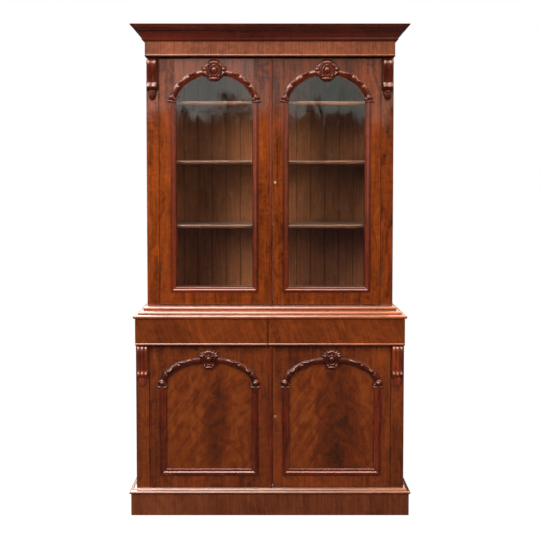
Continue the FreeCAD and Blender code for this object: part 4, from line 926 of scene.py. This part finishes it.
def rail_height(stage, angle, height, across):
    """How far the carving stands out from the door, in mm."""
    foot_high, leaves = ARCHES[stage][3:]
    rail = 5.8 + 2.2 * bell(across, -0.05, 0.5) + 0.6 * bell(across, -0.86, 0.08)
    rail += 0.4 * bell(across, 0.86, 0.07) - 0.5 * bell(across, 0.68, 0.1)
    rail += max(leaf(angle, across, *one) for one in leaves)
    if stage == "base":
        foot, rising = base_foot(height, across), step(height, 16, 26)
        rail *= step(height, -4, 4)
    else:
        foot, rising = upper_foot(height, across), step(height, foot_high - 3, foot_high + 3)
    share = 1 - rising if height < HEIGHT_OF_FEET else 0.0
    return (rail * (1 - share * 0.85) + foot * share) * (1 - abs(across) ** 10) ** 0.5


def rail_width(stage, angle, height):
    """Half the width of the carving in mm: wider over the leaves and at the foot."""
    wide = max(RAIL_HALF + 3.5 * sin(pi * evenly(angle, start, end) ** 1.4)
        for start, end, tip in ARCHES[stage][4])
    if height > HEIGHT_OF_FEET:
        return max(wide, RAIL_HALF)
    if stage == "base":
        return 23.5 - 4.5 * step(height, -5.0, -2.5) + 5.0 * bell(height, 9, 8) - 2.5 * step(height, 14, 26)
    curled = max(dome((height - 13) / 5.0) * 8.5, bell(height, 29, 9) * 6.5)
    return max(wide, 14.5) + curled * (1 - step(height, 38, 44))


def carved_rail(stage, name, middle, face, spring):
    half, rise, foot = ARCHES[stage][:3]
    start = asin(max(foot, 0) / 1000 / rise)
    straight = STRAIGHT_ROWS if foot < 0 else 0

    def place(row, column):
        if row < straight or row > RAIL_ROWS - straight:
            side = 1 if row < straight else -1
            drop = foot / 1000 * (1 - min(row, RAIL_ROWS - row) / straight)
            x, z, out_x, out_z, angle = side * half, drop, side, 0.0, 0.0
        else:
            turn = start + (pi - 2 * start) * (row - straight) / (RAIL_ROWS - 2 * straight)
            x, z = half * cos(turn), rise * sin(turn)
            out_x, out_z = rise * cos(turn), half * sin(turn)
            length = hypot(out_x, out_z)
            out_x, out_z = out_x / length, out_z / length
            angle = degrees(min(turn, pi - turn))
        height = z * 1000
        across, stand = -1.0, 0.0
        if column < RAIL_COLUMNS:
            across = spread_across(column, RAIL_COLUMNS, 0.75)
            stand = rail_height(stage, angle, height, across)
        off = across * rail_width(stage, angle, height) / 1000
        hollow = max(0.0, 1 - stand / 6.5) ** 1.5 * 0.9
        return middle + x + out_x * off, face - stand / 1000, spring + z + out_z * off, hollow

    return skin(name, RAIL_ROWS, RAIL_COLUMNS, place)


# ---- The cartouches ----
# The shield at the crown of each arch: an oval boss in a ring, a fluted crest over it, a scroll on
# either side and a lip below; those of the base have three leaf blades fanned out on each side.

RINGS, SPOKES = 66, 264
CARTOUCHE_SIZE = {"base": (1.04, 1.0), "upper": (1.09, 3.0)}
OUTLINES = {
    # degrees from level and reach in mm, for one side
    "upper": ((-90, 49), (-72, 50), (-55, 47), (-38, 46), (-20, 53), (0, 58), (16, 56), (34, 47), (50, 45),
              (68, 50), (90, 52)),
    "base": ((-90, 46), (-70, 45), (-52, 40), (-36, 39), (-16, 38), (0, 37), (12, 44), (22, 53), (31, 46),
             (39, 55), (48, 47), (57, 52), (66, 43), (78, 45), (90, 47)),
}
SIDE_SCROLL = ((20, 22), (26, 17), (29, 8), (29.5, -4), (28, -16), (23, -25), (17, -28))
UPPER_LEAF = ((34, -22), (40, -14), (46, -10))
BLADES = ((25, 15), (47, 20)), ((22, 19), (41, 34)), ((17, 24), (27, 43))
BLADE_CUTS = ((26, 20), (40, 27)), ((20, 25), (31, 38))


def traced(table, place, ease):
    """The value at a place in a table of (place, value) rows, eased from row to row."""
    for (start, here), (end, there) in zip(table, table[1:]):
        if start <= place <= end:
            return here + (there - here) * ease(place, start, end)
    return table[-1][1]


def stroke(x, z, points):
    """Distance in mm from a point to a line through the points."""
    best = 1e9
    for (ax, az), (bx, bz) in zip(points, points[1:]):
        share = held(((x - ax) * (bx - ax) + (z - az) * (bz - az)) / ((bx - ax) ** 2 + (bz - az) ** 2))
        best = min(best, hypot(x - ax - share * (bx - ax), z - az - share * (bz - az)))
    return best


def cartouche_height(stage, x, z):
    """How far the shield stands out from the door at a place from its middle, in mm."""
    x = abs(x)
    oval = hypot(x / 12.0, (z + 1) / 15.0)
    crest = hypot(x / 23.0, (z - 33) / 13.5)
    lip = hypot(x / 22.0, (z + 38) / 6.5)
    side = stroke(x, z, SIDE_SCROLL)
    stand = 9.0 + 2.5 * bell(hypot(x, z), 0, 40)
    stand += 6.0 * dome(oval) - 2.8 * bell(oval, 1.18, 0.14) + 2.6 * bell(oval, 1.5, 0.16)
    stand += (3.8 + 0.6 * cos(x * 0.85)) * dome(crest) ** 1.2 - 1.4 * bell(crest, 1.1, 0.1)
    stand += 4.6 * dome(lip) - 1.2 * bell(lip, 1.25, 0.18)
    stand += 4.4 * bell(side, 0, 2.7) - 1.2 * bell(side, 5.2, 1.6)
    stand += 3.2 * bell(hypot(x - 20, z - 19), 0, 3.6) + 3.0 * bell(hypot(x - 17, z + 26), 0, 3.6)
    if stage == "upper":
        ear = hypot(x - 44, z - 4)
        stand += 4.0 * bell(ear, 0, 6.0) - 1.4 * bell(ear, 10, 2.0)
        stand += 2.2 * bell(stroke(x, z, UPPER_LEAF), 0, 2.6)
    else:
        stand += sum(3.0 * bell(stroke(x, z, ends), 0, 2.6) for ends in BLADES)
        stand -= sum(1.6 * bell(stroke(x, z, ends), 0, 1.3) for ends in BLADE_CUTS)
    return stand


def cartouche(stage, name, middle, face, crown):
    enlarged, lift = CARTOUCHE_SIZE[stage]

    def place(row, column):
        turn = 2 * pi * column / SPOKES
        if row == RINGS:
            return middle, face, crown + lift / 1000, 0.0
        share = row / (RINGS - 1)
        folded = degrees(asin(max(-1.0, min(1.0, sin(turn)))))
        reach = traced(OUTLINES[stage], folded, step) * share
        x, z = reach * cos(turn), reach * sin(turn)
        stand = cartouche_height(stage, x, z) * (1 - share ** 14) ** 0.5
        hollow = min(max(0.0, 1 - stand / 9.5) ** 1.2, 0.9)
        return middle + x * enlarged / 1000, face - stand / 1000, crown + (z * enlarged + lift) / 1000, hollow

    return skin(name, RINGS, SPOKES, place)


carved_wood = polished("carved_mahogany", (0.026, 0.0045, 0.002, 1), (0.12, 0.018, 0.006, 1), gloss=0.5,
    matt=0.15, mottle=0.3, dust=0.1, hollow=True)
for stage, side, mark in DOORS:
    door = f"{stage}_{side}_door"
    left, right, sill, spring = opening_of(door, stage)
    middle, face = (left + right) / 2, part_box(door + "_frame")[0].y
    for piece in (
            carved_rail(stage, door + "_carved_rail", middle, face, spring),
            cartouche(stage, door + "_cartouche", middle, face, spring + ARCHES[stage][1])):
        fitted(piece, carved_wood, door, "carved_mahogany", door + "_arch", board=mark)


# ---- The corbels ----
# Reeded consoles glued to the heads of the pilasters, three reeds on the base and two above: they
# swell under the top, draw in, roll out to a scroll and end in a round drop.

CORBEL_ROWS, CORBEL_COLUMNS = 170, 66
CORBEL_WIDTH = 0.056
CONSOLE = (
    # share of the way down, share of the depth
    (0.0, 0.3), (0.03, 0.55), (0.06, 0.74), (0.1, 0.9), (0.14, 0.97), (0.18, 1.0), (0.26, 0.92),
    (0.38, 0.72), (0.5, 0.58), (0.6, 0.54), (0.64, 0.7), (0.68, 0.84), (0.72, 0.8), (0.755, 0.55),
    (0.78, 0.38), (0.83, 0.4), (0.89, 0.44), (0.95, 0.34), (1.0, 0.04),
)


def corbel(name, reeds, middle, face, low, high):
    depth = face - low.y

    def place(row, column):
        down = row / CORBEL_ROWS
        z = high.z - (high.z - low.z) * down
        half = CORBEL_WIDTH / 2 * (1 - 0.18 * step(down, 0.74, 0.79) - 0.18 * step(down, 0.8, 0.92))
        if down > 0.88:
            half *= max(0.12, dome((down - 0.88) / 0.125))
        if column == CORBEL_COLUMNS:
            return middle - half, face, z, 0.0
        across = spread_across(column, CORBEL_COLUMNS, 0.8)
        reed = dome(2 * (reeds * (across + 1) / 2 % 1.0) - 1)
        drop = step(down, 0.76, 0.8)
        section = (0.62 + 0.38 * reed) * (1 - drop) + dome(across * 0.96) * drop
        reach = sum(traced(CONSOLE, held(down + off), evenly) for off in (-0.02, 0, 0.02)) / 3
        roll = bell(down, 0.69, 0.03) * 0.08 * reed - bell(down, 0.765, 0.012) * 0.12
        stand = max(0.0, (reach * section + roll) * (1 - abs(across) ** 12) ** 0.5) * depth
        hollow = min(0.7, (1 - reed) ** 3 * (1 - drop) * 0.7 + bell(down, 0.775, 0.012) * 0.5)
        return middle + across * half, face - stand, z, hollow

    return skin(name, CORBEL_ROWS, CORBEL_COLUMNS, place)


# The base corbels take a lighter, redder copy of the carved wood: painted light for the warm highlights on
# their reeds.
base_corbel_lit_wood = polished("base_corbel_mahogany", (0.06, 0.008, 0.003, 1), (0.34, 0.06, 0.014, 1),
    matt=0.12, mottle=0.3, dust=0.1, hollow=True)
for stage, reeds, face, mark, wood in (("base", 3, -0.21, 3.3, base_corbel_lit_wood),
        ("upper", 2, -0.145, 4.4, carved_wood)):
    node = stage + "_corbels"
    low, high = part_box(node)
    for side, middle in (("left", low.x + CORBEL_WIDTH / 2), ("right", high.x - CORBEL_WIDTH / 2)):
        fitted(corbel(f"{stage}_corbel_{side}", reeds, middle, face, low, high), wood, "case",
            "carved_mahogany", node, board=mark)


# ---- The brassware ----
# Cast and drawn brass that has gone brown: butt hinges, cut locks with small round escutcheons,
# and flat slide bolts on the backs of the left doors.

KEY_WEAR_AND_GLINT_REACH = 0.06

brass, tree, shader = blank("old_brass")
place = add_node(tree, "TexCoord")["Object"]
tarnish = noise(tree, place, (90, 90, 90), 4, 0.5)
scratch = noise(tree, place, (700, 700, 60), 2)
brown = mixed(tree, between(tree, tarnish, 0.35, 0.7), (0.085, 0.044, 0.018, 1), (0.03, 0.015, 0.007, 1))
# Brass near the middle of the case, where the keyholes are, is painted bright: wear by the keys, and a
# painted glint on the escutcheons.
rubbed_and_glint = maths(tree, "LESS_THAN", maths(tree, "ABSOLUTE", split(tree, place)["X"]), KEY_WEAR_AND_GLINT_REACH)
rubbed_and_glint = times(tree, rubbed_and_glint, between(tree, tarnish, 0.75, 0.45))
wire(tree, shader, {
    "Base Color": mixed(tree, rubbed_and_glint, brown, (0.56, 0.43, 0.3, 1)), "Metallic": 0.5,
    "Roughness": plus(tree, times(tree, tarnish, 0.35), times(tree, scratch, 0.15), 0.15),
    "Normal": relief(tree, scratch, 0.12, 0.0002)})
fitted(worked("case_hinge_leaves"), brass, "case", "brass", "case_hinge_leaves")
for node in ("upper_lock_bolt", "base_lock_bolt", "upper_slide_bolt", "base_slide_bolt"):
    fitted(worked(node), brass, node, "brass", node)
for stage, side, mark in DOORS:
    door = f"{stage}_{side}_door"
    fitted(worked(door + "_brassware"), brass, door, "brass", door + "_brassware")
